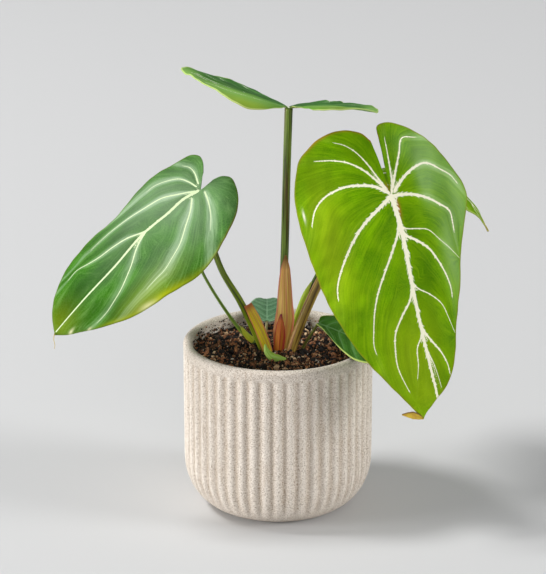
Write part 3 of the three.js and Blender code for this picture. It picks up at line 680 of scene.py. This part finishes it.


# The leaf's skin is velvety, because each of its cells is a tiny dome. That gives little gloss and a fine
# grain of 0.5 mm. Soft clouds 30 mm wide, growth lines 1 mm apart and a net of 2 mm cells vary its green.
# Silvery bands of painted sheen lie beside the veins, and the veins' edges are feathered.
def leaf_skin(name, looks):
    material, shader = new_material(name)
    chart = add(material, "UVMap", uv_map="leaf_chart")
    gap, across, width, along, growth, between, rim, side = (
        add(material, "Attribute", output="Fac", attribute_name=label)
        for label in ("vein_gap", "vein_across", "vein_width", "vein_along", "growth_line", "between",
                      "rim_gap", "side"))
    cloud = add(material, "TexNoise", {"Vector": chart, "Scale": 3.2, "Detail": 4})
    lines = add(material, "CombineXYZ", {"X": growth, "Y": side})
    lines = add(material, "Mapping", {"Vector": lines, "Scale": (22, 3, 1)})
    fine = add(material, "TexNoise", {"Vector": lines, "Scale": 1, "Detail": 4, "Roughness": 0.65})
    cells = add(material, "TexVoronoi", {"Vector": chart, "Scale": 52}, feature="DISTANCE_TO_EDGE")
    # Painted sheen: a silvery band beside a vein, broken up along the growth lines.
    near = add(material, "MapRange", {"Value": between, "From Min": looks["sheen_band_reach"], "From Max": 0.02},
               interpolation_type="SMOOTHSTEP")
    sheen_streaking = add(material, "MapRange", {"Value": fine, "From Min": 0.35, "From Max": 0.6, "To Min": 0.3})
    near = add(material, "Math", {0: near, 1: sheen_streaking}, operation="MULTIPLY")
    layers = [
        (cloud, 0.35, 0.65, 1, looks["light"]),
        (fine, 0.5, 0.72, looks["fine_lines"], looks["line"]),
        (fine, 0.48, 0.3, looks["fine_lines"], looks["deepening_colour"]),
        (cells, 0.16, 0.02, 0.16, looks["line"]),
        (between, 0.18, 0.5, looks["valley"], looks["deepening_colour"], "soft"),
        # The painted sheen band beside the veins.
        (near, 0, 1, looks["sheen_band"], looks["sheen_band_colour"]),
    ]
    # Deepening patches are painted shade; silvering patches are painted sheen, strongest beside the veins.
    for patch in PATCHES:
        strength = add(material, "Attribute", output="Fac", attribute_name=patch)
        if patch == "sheen_silvering":
            nearer = add(material, "MapRange", {"Value": near, "To Min": 0.3})
            strength = add(material, "Math", {0: strength, 1: nearer}, operation="MULTIPLY")
        layers.append((strength, 0, 1, 1, looks[patch + "_colour"]))
    # The veins, with barbs that sweep forward from their edges.
    away = add(material, "Math", {0: across}, operation="ABSOLUTE")
    swept = add(material, "Math", {0: away, 1: -BARB_SWEEP, 2: along}, operation="MULTIPLY_ADD")
    barbs = add(material, "CombineXYZ", {"X": swept, "Y": across})
    barbs = add(material, "Mapping", {"Vector": barbs, "Scale": (0.5, 0.1, 1)})
    barb = add(material, "TexNoise", {"Vector": barbs, "Scale": 1, "Detail": 3, "Roughness": 0.6})
    barb = add(material, "MapRange", {"Value": barb, "From Min": 0.5, "From Max": 0.68,
                                      "To Min": 1 - looks["feather"] * BARB_DIP,
                                      "To Max": 1 + looks["feather"]})
    edge = add(material, "Math", {0: width, 1: barb}, operation="MULTIPLY")
    beyond = add(material, "Math", {0: away, 1: edge}, operation="SUBTRACT")
    far = add(material, "Math", {0: gap, 1: BARB_REACH}, operation="SUBTRACT")
    beyond = add(material, "Math", {0: beyond, 1: far}, operation="MAXIMUM")
    layers += [(beyond, 0.22, -0.12, 1, looks["vein"], "soft"),
               (rim, 1.5, 0.5, looks["rim"], looks["rim_colour"])]
    grain = add(material, "TexNoise", {"Vector": chart, "Scale": 220})
    bump = add(material, "Bump", {"Height": grain, "Strength": 0.22, "Distance": 0.0004})
    plug(material, shader, {"Base Color": paint(material, linear(looks["dark"]), layers), "Normal": bump,
                            "Roughness": looks["roughness"], "Specular IOR Level": looks["gloss"],
                            "Sheen Weight": looks["sheen"], "Sheen Roughness": 0.45})
    return material


# The large leaf at the left: mid green with silvery bands of painted sheen and patches of painted shade,
# yellowing along its lower margin from the tip, with a dry scar. It leans out from the end of its stalk.
# Midrib and veins are given by half their width at the base and the share of it that is left at the tip.
LEFT_LOOKS = {
    "midrib_width": (1.2, 0.3), "vein_width": (0.62, 0.15), "feather": 0.4,
    "bulge": 1.3, "rumple": 0.4, "frill": 0.3, "roughness": 0.55, "gloss": 0.05, "sheen": 0.02,
    "dark": "#205600", "light": "#3a7c00", "line": "#76a554", "fine_lines": 0.7, "valley": 0.35,
    "sheen_band": 0.6, "sheen_band_reach": 0.26, "sheen_band_colour": "#94b486", "vein": "#d9e8ba",
    "rim": 0.5, "rim_colour": "#5f7426", "deepening_colour": "#1b4a02", "sheen_silvering_colour": "#b7ccb0",
    "yellowing_colour": "#a3ac10", "browning_colour": "#8a5a34", "paling_colour": "#f3edbd",
    "deepening": [(60, 20, 30, 6, 0.3), (110, 12, 26, 5, 0.6), (96, -22, 26, 6, 0.4), (130, -10, 18, 5, 0.5),
                  (-12, 26, 8, 8, 0.35)],
    "sheen_silvering": [(14, -4, 32, 30, 0.95), (40, 26, 40, 14, 0.6), (64, -26, 34, 14, 0.45),
                  (70, 6, 40, 12, 0.4)],
    "yellowing": [(152, 8, 18, 15, 0.3), (92, -34, 34, 10, 0.35), (118, -30, 24, 9, 0.6, 2.4),
                  (82, -46, 26, 12, 0.95, 4.6), (40, -50, 26, 12, 0.45, 2.4)],
    "browning": [(10, -44, 30, 20, 0.9, 0.9)],
    "paling": [(94, -36.5, 7, 6, 1.0, 3), (150, -5, 3.6, 1.2, 0.8), (139, -17, 2.6, 0.9, 0.9)],
}
LEFT_MIDRIB = [(2, 1), (14, 4), (31, 4), (56, 6), (89, 4), (124, 5), (157, 6)]
LEFT_VEINS = [
    [(-3, 6), (-8, 16), (-9, 23), (-7, 29)],
    [(0, 5), (1, 13), (4, 21), (12, 27), (21, 31), (29, 32)],
    [(4, 3), (15, 11), (25, 18), (38, 22), (53, 26), (66, 28), (79, 29), (92, 30)],
    [(50, 5), (57, 8), (66, 13), (79, 17), (92, 20), (102, 24), (111, 28), (121, 28)],
    [(-1, -4), (4, -14), (11, -24), (19, -32)],
    [(10, -1), (18, -8), (31, -16), (43, -23), (55, -27), (66, -30), (77, -30), (86, -30)],
    [(52, 6), (60, 4), (68, 1), (80, -6), (89, -10), (100, -14), (109, -16), (120, -18), (130, -18)],
]
grow_blade("left", LEFT_MIDRIB, LEFT_VEINS, LEFT_LOOKS)

# The largest leaf at the right: fresh yellow green with broad feathered cream veins and a thin brown margin.
# It hangs steeply from its stalk, with silvery patches of painted sheen between the veins of its right half,
# and patches of painted shade.
RIGHT_LOOKS = {
    "midrib_width": (2.1, 0.4), "vein_width": (1.3, 0.25), "feather": 1.1,
    "vein_breadths": [0.6, 0.8, 1, 1.15, 0.8, 0.7, 0.5, 0.7, 0.8, 1, 1.1, 0.35, 0.95, 0.4, 0.8, 0.35],
    "bulge": 1.6, "rumple": 0.6, "frill": 0.5, "roughness": 0.6, "gloss": 0.03, "sheen": 0.0,
    "dark": "#528a00", "light": "#76a800", "line": "#9cc016", "fine_lines": 0.55, "valley": 0.2,
    "sheen_band": 0.12, "sheen_band_reach": 0.2, "sheen_band_colour": "#a9c24a", "vein": "#fffbe0",
    "rim": 0.5, "rim_colour": "#8a7a20", "deepening_colour": "#356200", "sheen_silvering_colour": "#b4d69a",
    "yellowing_colour": "#a4b81c", "browning_colour": "#a9692a", "paling_colour": "#fffbe6",
    "deepening": [(-38, 14, 20, 14, 0.4), (-30, 58, 18, 10, 0.3), (-30, -28, 14, 8, 0.4),
                  (24, -46, 22, 8, 0.4), (60, -16, 26, 8, 0.4), (98, -14, 24, 6, 0.35),
                  (126, 12, 16, 6, 0.15), (140, -12, 14, 8, 0.2), (30, -10, 20, 6, 0.4)],
    "sheen_silvering": [(-26, -40, 26, 12, 1.0), (10, -58, 34, 9, 1.0), (-8, -30, 20, 6, 1.0),
                  (52, -40, 34, 7, 1.0), (-36, -20, 14, 10, 0.3)],
    "yellowing": [(30, 56, 60, 16, 0.45), (156, -2, 14, 14, 0.25), (124, 6, 36, 26, 0.4)],
    "browning": [(11, -3.7, 8, 1.5, 0.95), (-32, 6, 22, 12, 0.9, 2.4), (-50, 40, 14, 26, 0.85, 1.8),
                 (-6, 1.5, 4, 2.5, 0.6)],
    "paling": [(4.3, 71, 4.5, 0.6, 1.0)],
}
RIGHT_MIDRIB = [(1, 0), (12, -1), (25, -2), (52, -2), (74, -2), (97, -3), (120, -5), (145, -8), (163, -11)]
RIGHT_VEINS = [
    [(-6, 3), (-16, 8), (-27, 13), (-37, 19), (-44, 26), (-48, 34)],
    [(-5, 3), (-14, 10), (-23, 18), (-30, 28), (-34, 40), (-36, 53)],
    [(-2, 2), (-8, 11), (-11, 23), (-12, 34), (-10, 45), (-6, 54), (2, 62), (13, 67)],
    [(2, 2), (10, 14), (19, 27), (29, 37), (40, 45), (52, 52), (64, 57), (72, 58)],
    [(22, -1), (31, 2), (43, 9), (59, 19), (73, 27), (86, 32), (101, 35), (112, 36), (118, 35)],
    [(70, -2), (82, 2), (92, 10), (105, 18), (118, 20), (131, 20), (144, 16), (151, 13)],
    [(106, -4), (112, -2), (119, 2), (132, 3), (142, 5)],
    [(-2, -1), (-8, -3), (-25, -5), (-45, -7)],
    [(-6, -3), (-19, -9), (-31, -15), (-43, -21), (-42, -32)],
    [(-3, -4), (-13, -15), (-19, -26), (-21, -36), (-15, -49), (-9, -58), (-3, -62)],
    [(1, -3), (2, -16), (6, -28), (12, -38), (19, -47), (27, -48), (35, -48)],
    [(22, -2), (27, -5), (29, -15), (31, -24), (40, -33), (48, -41), (56, -47)],
    [(24, -2), (32, -4), (38, -13), (46, -22), (57, -28), (68, -32), (78, -34), (85, -34)],
    [(68, -2), (74, -6), (80, -15), (89, -24), (102, -29), (112, -32)],
    [(98, -3), (106, -5), (116, -11), (125, -17), (135, -21), (143, -22)],
    [(112, -5), (121, -6), (134, -10), (152, -14)],
]
grow_blade("right", RIGHT_MIDRIB, RIGHT_VEINS, RIGHT_LOOKS)

# The topmost leaf: dark green and nearly level, so it is seen almost on edge from the front, with its two
# lobes nearest. Pale and yellow patches stand for their thin tissue, where the light comes through.
TOP_LOOKS = dict(LEFT_LOOKS, **NO_PATCHES)
TOP_LOOKS.update({
    "midrib_width": (1.3, 0.3), "vein_width": (0.9, 0.3), "vein_breadths": [1] * 12 + [1.7, 1.2],
    "bulge": 0.9, "rumple": 0.3, "frill": 0.6, "gloss": 0.06,
    "dark": "#1f5a08", "light": "#327a18", "line": "#5f9a40", "sheen_band": 0.5, "sheen_band_colour": "#8fb47c",
    "vein": "#f2f7dc", "rim": 0.75, "rim_colour": "#bcd07c",
    "paling_colour": "#82b24e", "browning_colour": "#b98a68",
    "deepening": [(30, -40, 40, 40, 0.5)],
    "yellowing": [(-38, -36, 12, 22, 0.6), (-34, 40, 10, 22, 0.4)],
    "browning": [(-8, 9, 5, 12, 0.55), (-50, -36, 40, 40, 0.6, 1.2)],
    "paling": [(-18, -44, 24, 36, 0.95), (-20, 36, 16, 30, 0.85), (4, -84, 30, 9, 0.9), (14, 66, 30, 8, 0.8)],
})
TOP_MIDRIB = [(1, 0), (40, 0), (80, 0), (120, 0), (148, 0)]
TOP_VEINS = veins_by_growth(LEAVES["top"], (0.24, 0.34, 0.44, 0.56, 0.68, 0.8))
TOP_VEINS.append([(2, -3), (12, -15), (16, -27), (13, -40), (9, -52), (11, -64), (16, -75)])
TOP_VEINS.append([(1, 3), (2, 14), (0, 26), (-2, 38), (2, 50), (8, 60)])
grow_blade("top", TOP_MIDRIB, TOP_VEINS, TOP_LOOKS)

# The four young leaves: fresh yellow green at the back right, mid green at the left, dark green over the rim
# at the right, and a dull blue-green one that is still opening at the back of the pot.
YOUNG = {
    "right_back": (RIGHT_LOOKS, "leaf_yellow_green", {
        "midrib_width": (1.0, 0.3), "vein_width": (0.5, 0.3), "bulge": 0.6, "rumple": 0.2, "feather": 0.4,
        "rim_colour": "#c3cf7a", "dark": "#5f8f0a", "light": "#86ac22", "browning": [(112, 0, 8, 8, 0.9)],
    }),
    "left_small": (LEFT_LOOKS, "leaf_mid_green", {
        "midrib_width": (0.9, 0.3), "vein_width": (0.5, 0.3), "bulge": 0.5, "rumple": 0.2, "feather": 0.3,
    }),
    "right_small": (LEFT_LOOKS, "leaf_dark_green", {
        "midrib_width": (0.6, 0.3), "vein_width": (0.25, 0.3), "bulge": 0.5, "rumple": 0.2, "feather": 0.2,
        "dark": "#2c5a14", "light": "#3f7420", "line": "#6f9a4c", "deepening_colour": "#1c3f0c",
        "sheen_band": 0.25, "sheen_band_colour": "#6f9468", "vein": "#5f8550", "rim": 0.8, "rim_colour": "#c6d676",
        "gloss": 0.04,
    }),
    "back_small": (LEFT_LOOKS, "leaf_blue_green", {
        "midrib_width": (0.6, 0.4), "vein_width": (0.15, 0.3), "bulge": 0.3, "rumple": 0.15, "feather": 0.2,
        "dark": "#44684a", "light": "#587c56", "line": "#83a584", "deepening_colour": "#2f5234",
        "sheen_band": 0.1, "sheen_band_colour": "#86a688", "vein": "#6f9070", "rim_colour": "#a9c0a0",
    }),
}
for young, (parent_looks, leaf_slot, own_looks) in YOUNG.items():
    looks = {**parent_looks, **NO_PATCHES, **own_looks}
    midrib = [(0.5, 0)] + [(LEAVES[young]["tip"][0] * share, 0) for share in (0.3, 0.6, 0.95)]
    side_veins = veins_by_growth(LEAVES[young], (0.12, 0.28, 0.42, 0.56, 0.7, 0.84), reach=0.85)
    grow_blade(young, midrib, side_veins, looks)

# The stalks: firm round petioles, slightly flattened on their inner side, that rise from the rhizome to the
# underside of each blade. Their waxy skin is streaked lengthwise in olive, brown and dull pink. Each has its
# line from the bottom up, its radii along it, its dark, light and flush colours, and its slot.
STALKS = {
    "left": ([(-7, 9, 108), (-11, 7.5, 122), (-19, 8, 141), (-30, 5.5, 165.6), (-44, 2, 192), (-52.5, 0, 219),
              (-60, -5, 260)], (3.7, 3.1, 2.5, 2.3, 2.1), ("#2c4000", "#8aa010", "#8a8a20"), "stalk_olive"),
    "right": ([(8, 7, 108), (10, 5.5, 122), (19.5, 2.5, 152), (31, 1, 180), (46, -1, 210), (62, -5, 235),
               (77, -16, 254), (86, -30, 264)], (4.2, 3.8, 3.5, 3.3, 2.8), ("#5a3f12", "#c2a04a", "#c9806a"),
              "stalk_brown"),
    "top": ([(2, 12, 108), (2.4, 11.8, 123), (4.2, 10.5, 175), (5.4, 9, 214), (6.6, 8, 270), (8.1, 8, 322.5)],
            (3.3, 3.3, 3.2, 3.1, 3.2), ("#1e2a04", "#84a030", "#6a5020"), "stalk_brown"),
    "right_back": ([(8, 17.5, 108), (10, 17.5, 123), (20.3, 18.2, 161), (29.6, 18.5, 180.3), (49, 22.5, 221),
                    (65, 27, 249), (73.5, 28, 262)], (2.4, 1.7, 1.6, 1.5, 1.5),
                   ("#26380c", "#6f9034", "#5f6a30"), "stalk_olive"),
    "left_small": ([(-7, 22, 108), (-12, 22.5, 119), (-21, 22.5, 126), (-27, 22, 131.5), (-37.5, 21, 145.8),
                    (-53.4, 17, 173.2), (-61, 14, 190), (-66, 12, 208)], (1.9, 1.5, 1.3, 1.2, 1.2),
                   ("#3f5a14", "#8fae3c", "#8f9a40"), "stalk_olive"),
    "right_small": ([(13, 12, 109), (17.4, 9.8, 118), (20.5, 7.5, 127), (26, 2, 139), (31.8, -4, 150.3)],
                    (1.5, 1.3, 1.2, 1.1, 1.1), ("#4a4f20", "#7a8238", "#8f7a40"), "stalk_olive"),
    "back_small": ([(-9, 43, 108), (-10, 44, 119), (-9.6, 45.5, 127), (-8.9, 48, 134.2)],
                   (1.3, 1.2, 1.1, 1.1), ("#6a6a3c", "#a09a68", "#a08a5c"), "stalk_olive"),
}
# A direction that no stalk runs along, from which its sides are told.
STALK_FACING = (0.0, 1.0, 0.05)
# How far from its blade's base a stalk is pressed flat, and how far its top then goes into the blade.
PRESS_REACH = 14
PRESS_DEPTH = 0.2


def path_frame(points, count, facing):
    """A smooth path, with the directions to the side and to the front at each of its places."""
    path = smooth_line(points, count)
    direction = np.gradient(path, axis=0)
    direction /= np.linalg.norm(direction, axis=1)[:, None]
    side = np.cross(direction, facing)
    side /= np.linalg.norm(side, axis=1)[:, None]
    return path, side, np.cross(side, direction)


def read_along(u, values):
    """Reads values that are spread evenly from u 0 to u 1."""
    return np.interp(u, np.linspace(0, 1, len(values)), values)


def tube(points, radii, rows=90, columns=20, flatten=0.12):
    """A closed stalk along a smooth path, flattened a little on one side."""
    piece, u, v = flat_grid(rows, columns)
    path, side, front = path_frame(points, rows - 1, STALK_FACING)
    row = np.rint(u * rows).astype(int)
    step = np.clip(row - 1, 0, rows - 2)
    # The first and the last row draw together into the closed ends.
    radius = read_along(u, radii) * ((row > 0) & (row < rows))
    angle = math.pi * (v + 1)
    flat = 1 - flatten * np.maximum(0, np.cos(angle)) ** 2
    length = np.linalg.norm(np.diff(path, axis=0), axis=1).sum()
    lay_chart(piece, "skin_chart", (v + 1) / 2, u * length / CHART_LENGTH)
    move_corners(piece, path[step] + (radius * flat * np.cos(angle))[:, None] * front[step]
                 + (radius * np.sin(angle))[:, None] * side[step])
    weld(0.01, outwards=True)
    return piece


# Petiole skin is smooth and waxy over long fibres, so it has a satin gloss and lengthwise streaks, up to
# 1.5 mm wide and 45 mm long, with broader flushes of brown or pink.
def petiole_skin(name, dark, light, flush):
    material, shader = new_material(name)
    chart = add(material, "UVMap", uv_map="skin_chart")
    streaks = add(material, "Mapping", {"Vector": chart, "Scale": (14, 2.2, 1)})
    streak = add(material, "TexNoise", {"Vector": streaks, "Scale": 1, "Detail": 4})
    streak = add(material, "MapRange", {"Value": streak, "From Min": 0.35, "From Max": 0.68})
    longer = add(material, "Mapping", {"Vector": chart, "Scale": (4, 1.1, 1)})
    warm = add(material, "TexNoise", {"Vector": longer, "Scale": 1})
    skin = paint(material, linear(dark), [(streak, 0, 1, 1, light), (warm, 0.5, 0.75, 1, flush)])
    bump = add(material, "Bump", {"Height": streak, "Strength": 0.3, "Distance": 0.0003})
    plug(material, shader, {"Base Color": skin, "Normal": bump, "Roughness": 0.42})
    return material


def press_under_blade(piece, leaf):
    """Flattens the top of a stalk against the underside of its blade."""
    places = corners(piece)
    from_base = places - np.array(leaf["at"])
    up = leaf_axes(leaf)[2]
    over = from_base @ up + leaf["thickness"] / 2 - PRESS_DEPTH
    pressed = (np.linalg.norm(from_base, axis=1) < PRESS_REACH) & (over > 0)
    move_corners(piece, places - np.where(pressed, over, 0)[:, None] * up)


for owner, (points, radii, colours, stalk_slot) in STALKS.items():
    stalk = tube(points, radii)
    press_under_blade(stalk, LEAVES[owner])
    skin = petiole_skin("petiole_skin_" + owner, *colours)
    finish_piece(stalk, "stalk_" + owner, skin, ["petiole_" + owner])

# The sheaths: thin papery leaves that once wrapped each young stalk. They dry from yellow green to gold
# and orange, with pink edges and a brown tip, and clasp the stalk as a trough up to 1 mm thick. Each faces a
# heading in degrees. across and depth are its radii and wrap its angle on either side, from the bottom up.
SHEATHS = {
    "top": {
        "faces": -92, "thickness": 1.0, "rows": 90,
        "across": (4.4, 6.1, 7.6, 7.4, 6.2, 5.6, 5.3, 5.0, 4.8),
        "depth": (4.6, 5.2, 5.6, 5.6, 5.3, 5.1, 5.0, 5.0, 5.0),
        "wrap": (76, 78, 80, 78, 75, 70, 58, 42, 8),
        "points": [(2.2, 12.1, 117), (3.4, 11.8, 135), (5.4, 11.3, 150), (5.5, 10.8, 165), (5.6, 10.2, 180),
                   (6.2, 9.4, 204)],
        "ribs": (-0.25, 0.35), "rib_height": 0.45,
        "colours": ("#d2902a", "#fcd87c", "#e27468", "#8a5a20"), "slot": "sheath_gold",
    },
    "top_short": {
        "faces": -104, "thickness": 0.8, "rows": 60,
        "across": (6.4, 6.6, 6.8, 6.8, 6.8),
        "depth": (7.0, 7.3, 7.6, 7.6, 7.4),
        "wrap": (26, 38, 40, 28, 5),
        "points": [(1.4, 12.2, 117), (2.0, 11.9, 128), (3.2, 11.6, 140), (4.2, 11.4, 155)],
        "ribs": (0.1,), "rib_height": 0.35,
        "colours": ("#b4560c", "#d88a2c", "#c4343c", "#8a2430"), "slot": "sheath_red",
    },
    "left": {
        "faces": -75, "thickness": 1.0, "rows": 60,
        "across": (4.2, 4.4, 4.5, 4.4, 3.6),
        "depth": (2.4, 2.4, 2.4, 2.3, 2.0),
        "wrap": (60, 60, 60, 60, 55),
        "points": [(-7.0, 5.4, 118), (-10.7, 5.5, 131), (-16.6, 5.4, 147), (-24.2, 3.2, 164)],
        "ribs": (-0.2, 0.3), "rib_height": 0.3,
        "colours": ("#bca600", "#ecd81c", "#d8705a", "#b0602c"), "slot": "sheath_gold",
    },
    "right_back": {
        "faces": -128, "thickness": 0.8, "rows": 60,
        "across": (3.4, 3.5, 3.3, 3.0, 2.8),
        "depth": (3.4, 3.3, 3.1, 2.9, 2.8),
        "wrap": (80, 80, 78, 60, 10),
        "points": [(9.5, 17.5, 119), (12.8, 17.8, 134), (17.4, 18.0, 151), (22.2, 18.3, 165),
                   (27.8, 18.4, 177)],
        "ribs": (0.0,), "rib_height": 0.25,
        "colours": ("#9cc012", "#c8dc38", "#b4c83c", "#a9b44c"), "slot": "sheath_green",
    },
    "left_small": {
        "faces": -25, "thickness": 0.7, "rows": 40,
        "across": (2.7, 2.7, 2.5, 2.4),
        "depth": (2.8, 2.8, 2.6, 2.4),
        "wrap": (75, 78, 60, 12),
        "points": [(-20.5, 22.5, 125.6), (-25.5, 22.2, 130.1), (-31.8, 21.6, 138)],
        "ribs": (0.0,), "rib_height": 0.2,
        "colours": ("#a4b80c", "#dce02c", "#c8b83c", "#8a8a3c"), "slot": "sheath_green",
    },
}
SHEATH_COLUMNS = 24
# A rib's half width, as a share of the half width of its sheath.
RIB_WIDTH = 0.14


def sheath_shell(sheath):
    """Bends a grid into a ribbed trough round its stalk and gives it a body."""
    rows = sheath["rows"]
    piece, u, v = flat_grid(rows, SHEATH_COLUMNS)
    faces = math.radians(sheath["faces"])
    path, side, front = path_frame(sheath["points"], rows + 1, (math.cos(faces), math.sin(faces), 0))
    row = np.rint(u * rows).astype(int)
    across, depth, wrap = (read_along(u, sheath[name]) for name in ("across", "depth", "wrap"))
    angle = v * np.radians(wrap)
    ribs = sum(np.exp(-((v - rib) / RIB_WIDTH) ** 2) for rib in sheath["ribs"])
    depth += sheath["rib_height"] * ribs * np.sqrt(np.sin(math.pi * np.clip(u, 0, 1)))
    mark(piece, "height", u)
    mark(piece, "spread", v)
    lay_chart(piece, "skin_chart", (v + 1) / 2, u)
    move_corners(piece, path[row] + (across * np.sin(angle))[:, None] * side[row]
                 + (depth * np.cos(angle))[:, None] * front[row])
    weld(0.01)
    thicken(piece, sheath["thickness"])
    return piece


# Sheath tissue is dry and papery, so it has a low satin gloss and lengthwise fibres about 1 mm apart. Longer
# flushes and both margins take the edge colour, and the end dries to the tip colour.
def sheath_tissue(name, dark, light, edge, tip):
    material, shader = new_material(name)
    chart = add(material, "UVMap", uv_map="skin_chart")
    fibres = add(material, "Mapping", {"Vector": chart, "Scale": (16, 1.5, 1)})
    fibre = add(material, "TexNoise", {"Vector": fibres, "Scale": 1, "Detail": 3})
    fibre = add(material, "MapRange", {"Value": fibre, "From Min": 0.35, "From Max": 0.65})
    longer = add(material, "Mapping", {"Vector": chart, "Scale": (9, 0.9, 1)})
    flush = add(material, "TexNoise", {"Vector": longer, "Scale": 1})
    spread = add(material, "Attribute", output="Fac", attribute_name="spread")
    spread = add(material, "Math", {0: spread}, operation="ABSOLUTE")
    height = add(material, "Attribute", output="Fac", attribute_name="height")
    skin = paint(material, linear(dark), [
        (fibre, 0, 1, 1, light), (flush, 0.5, 0.66, 0.75, edge), (spread, 0.6, 0.95, 0.85, edge),
        (height, 0.86, 0.97, 1, tip)])
    bump = add(material, "Bump", {"Height": fibre, "Strength": 0.35, "Distance": 0.0003})
    plug(material, shader, {"Base Color": skin, "Normal": bump, "Roughness": 0.5})
    return material


for owner, sheath in SHEATHS.items():
    tissue = sheath_tissue("sheath_tissue_" + owner, *sheath["colours"])
    finish_piece(sheath_shell(sheath), "papery_sheath_" + owner, tissue, ["sheath_" + owner])

# The dried ends: the right leaf's tip has withered into a yellow hook that curls back to the left, and a
# thin thread hangs from the left leaf's tip. Both are leaf tissue gone thin, curled and brittle.
HOOK_LINE = [(111.2, -82.4, 101.6), (108, -82.6, 103), (104, -82.8, 104.2), (99, -82.4, 104.6),
             (94.6, -81.6, 104.4)]
HOOK_BREADTHS = (1.2, 4.8, 6.2, 4.0, 0.8)
HOOK_ROWS = 30
HOOK_COLUMNS = 8
HOOK_CUP = 0.9
HOOK_THICKNESS = 0.5
THREAD_LINE = [(-171.6, -55.2, 160.6), (-172.3, -55.6, 156), (-171.6, -55.6, 151.5), (-171.9, -55.5, 148)]
THREAD_RADII = (0.35, 0.25, 0.2, 0.15)


def dried_hook():
    """A pointed strip along the hook's line, with its edges cupped towards the front."""
    piece, u, v = flat_grid(HOOK_ROWS, HOOK_COLUMNS)
    places = smooth_line(HOOK_LINE, HOOK_ROWS + 1)[np.rint(u * HOOK_ROWS).astype(int)]
    places[:, 1] -= HOOK_CUP * np.sin(math.pi / 2 * v) ** 2
    places[:, 2] += read_along(u, HOOK_BREADTHS) * v / 2
    mark(piece, "spread", v)
    move_corners(piece, places)
    bpy.ops.object.shade_smooth()
    thicken(piece, HOOK_THICKNESS)
    return piece


# Withered leaf tissue is dull yellow with ochre blotches 4 mm wide, and brown along the hook's upper edge.
def dried_tissue():
    material, shader = new_material("dried_leaf_tissue")
    place = add(material, "TexCoord", output="Object")
    blotch = add(material, "TexNoise", {"Vector": place, "Scale": 260, "Detail": 3})
    spread = add(material, "Attribute", output="Fac", attribute_name="spread")
    dry = paint(material, linear("#cdb12e"), [(blotch, 0.4, 0.65, 1, "#b98f2a"),
                                              (spread, 0.45, 0.95, 1, "#6e4a22")])
    plug(material, shader, {"Base Color": dry, "Roughness": 0.6})
    return material


withered = dried_tissue()
finish_piece(dried_hook(), "dried_tip_right", withered)
thread = tube(THREAD_LINE, THREAD_RADII, rows=30, columns=8, flatten=0)
finish_piece(thread, "dried_thread_left", withered)

# The bud: a fresh green shoot, curved like a little horn, that has just pushed out of the mix. Its skin is
# young petiole skin, pale green and streaked.
BUD_LINE = [(-10.2, -9.5, 134.8), (-8.8, -11, 129.3), (-4.8, -12.6, 125.4), (0.6, -13.2, 124.2),
            (6.4, -13.2, 124)]
BUD_RADII = (0.5, 2.4, 3.5, 2.9, 0.5)
bud = tube(BUD_LINE, BUD_RADII, rows=50, columns=24, flatten=0.3)
bud_skin = petiole_skin("bud_skin", "#8cbc34", "#d2ec80", "#7aa832")
finish_piece(bud, "green_bud", bud_skin, ["bud"])

# The stage: a studio floor painted light grey and matte, so that it takes a soft shadow and no gloss. It is
# 40 m wide.
FLOOR_SIZE = 40
deselect()
bpy.ops.mesh.primitive_plane_add(size=FLOOR_SIZE)
floor = bpy.context.object
floor.name = "studio_floor"
floor_paint, floor_shader = new_material("matte_grey_floor")
plug(floor_paint, floor_shader, {"Base Color": linear("#cfcfcf"), "Roughness": 0.9,
                                 "Specular IOR Level": 0.1})
floor.data.materials.append(floor_paint)

# The light: a large soft box high at the left, three wide soft lights low at the left, at the right and in
# front that are far enough away to fall evenly on the floor, and an even grey surround. The plain view
# transform shows the greens and the clay as bright and as strong as their colours are named.
# Each wide light: its place in metres, its strength, and its width in radians.
WIDE_LIGHTS = {
    "left_light": ((-2.1, -0.5, 0.5), 2.35, 0.35),
    "right_light": ((2.1, -0.5, 0.9), 1.45, 0.35),
    "front_light": ((0.3, -2.6, 1.1), 0.5, 0.6),
}
KEY_PLACE = (-2.8, 0.2, 4.0)
KEY_POWER = 146
KEY_SIZE = 1.15
# The point in metres that every light shines towards.
LIGHT_AIM = Vector((0, 0, 0.12))
SURROUND_STRENGTH = 0.36

bpy.context.scene.view_settings.view_transform = "Standard"
world = bpy.data.worlds.new("studio")
bpy.context.scene.world = world
world.use_nodes = True
surround = world.node_tree.nodes["Background"].inputs
surround["Color"].default_value = linear("#e6e8ea")
surround["Strength"].default_value = SURROUND_STRENGTH


def place_light(name, kind, place, strength):
    """Adds a light that shines from its place towards the plant."""
    light = bpy.data.lights.new(name, kind)
    light.energy = strength
    lamp = bpy.data.objects.new(name, light)
    bpy.context.collection.objects.link(lamp)
    lamp.location = place
    lamp.rotation_euler = (LIGHT_AIM - Vector(place)).to_track_quat("-Z", "Y").to_euler()
    return light


key = place_light("key", "AREA", KEY_PLACE, KEY_POWER)
key.shape = "DISK"
key.size = KEY_SIZE
for name, (place, strength, width) in WIDE_LIGHTS.items():
    place_light(name, "SUN", place, strength).angle = width

# The camera: a long lens, two metres off and looking 19 degrees down, which gives the pot's rim the oval of
# the photograph. Its aim puts the plant where the photograph has it.
CAMERA_DISTANCE = 2.0
CAMERA_DOWN = math.radians(19.1)
CAMERA_AIM = (-0.004, 0, 0.1792)
# The photograph shows 1 mm at that distance as 1.2734 pixels, and its frame is 574 pixels high.
PIXELS_PER_METRE = 1273.4
FRAME_PIXELS = 574
camera_data = bpy.data.cameras.new("camera")
camera_data.sensor_width = 36
camera_data.lens = PIXELS_PER_METRE * CAMERA_DISTANCE / FRAME_PIXELS * camera_data.sensor_width
camera = bpy.data.objects.new("camera", camera_data)
bpy.context.collection.objects.link(camera)
camera.location = (CAMERA_AIM[0], -CAMERA_DISTANCE * math.cos(CAMERA_DOWN),
                   CAMERA_AIM[2] + CAMERA_DISTANCE * math.sin(CAMERA_DOWN))
camera.rotation_euler = (math.pi / 2 - CAMERA_DOWN, 0, 0)
bpy.context.scene.camera = camera
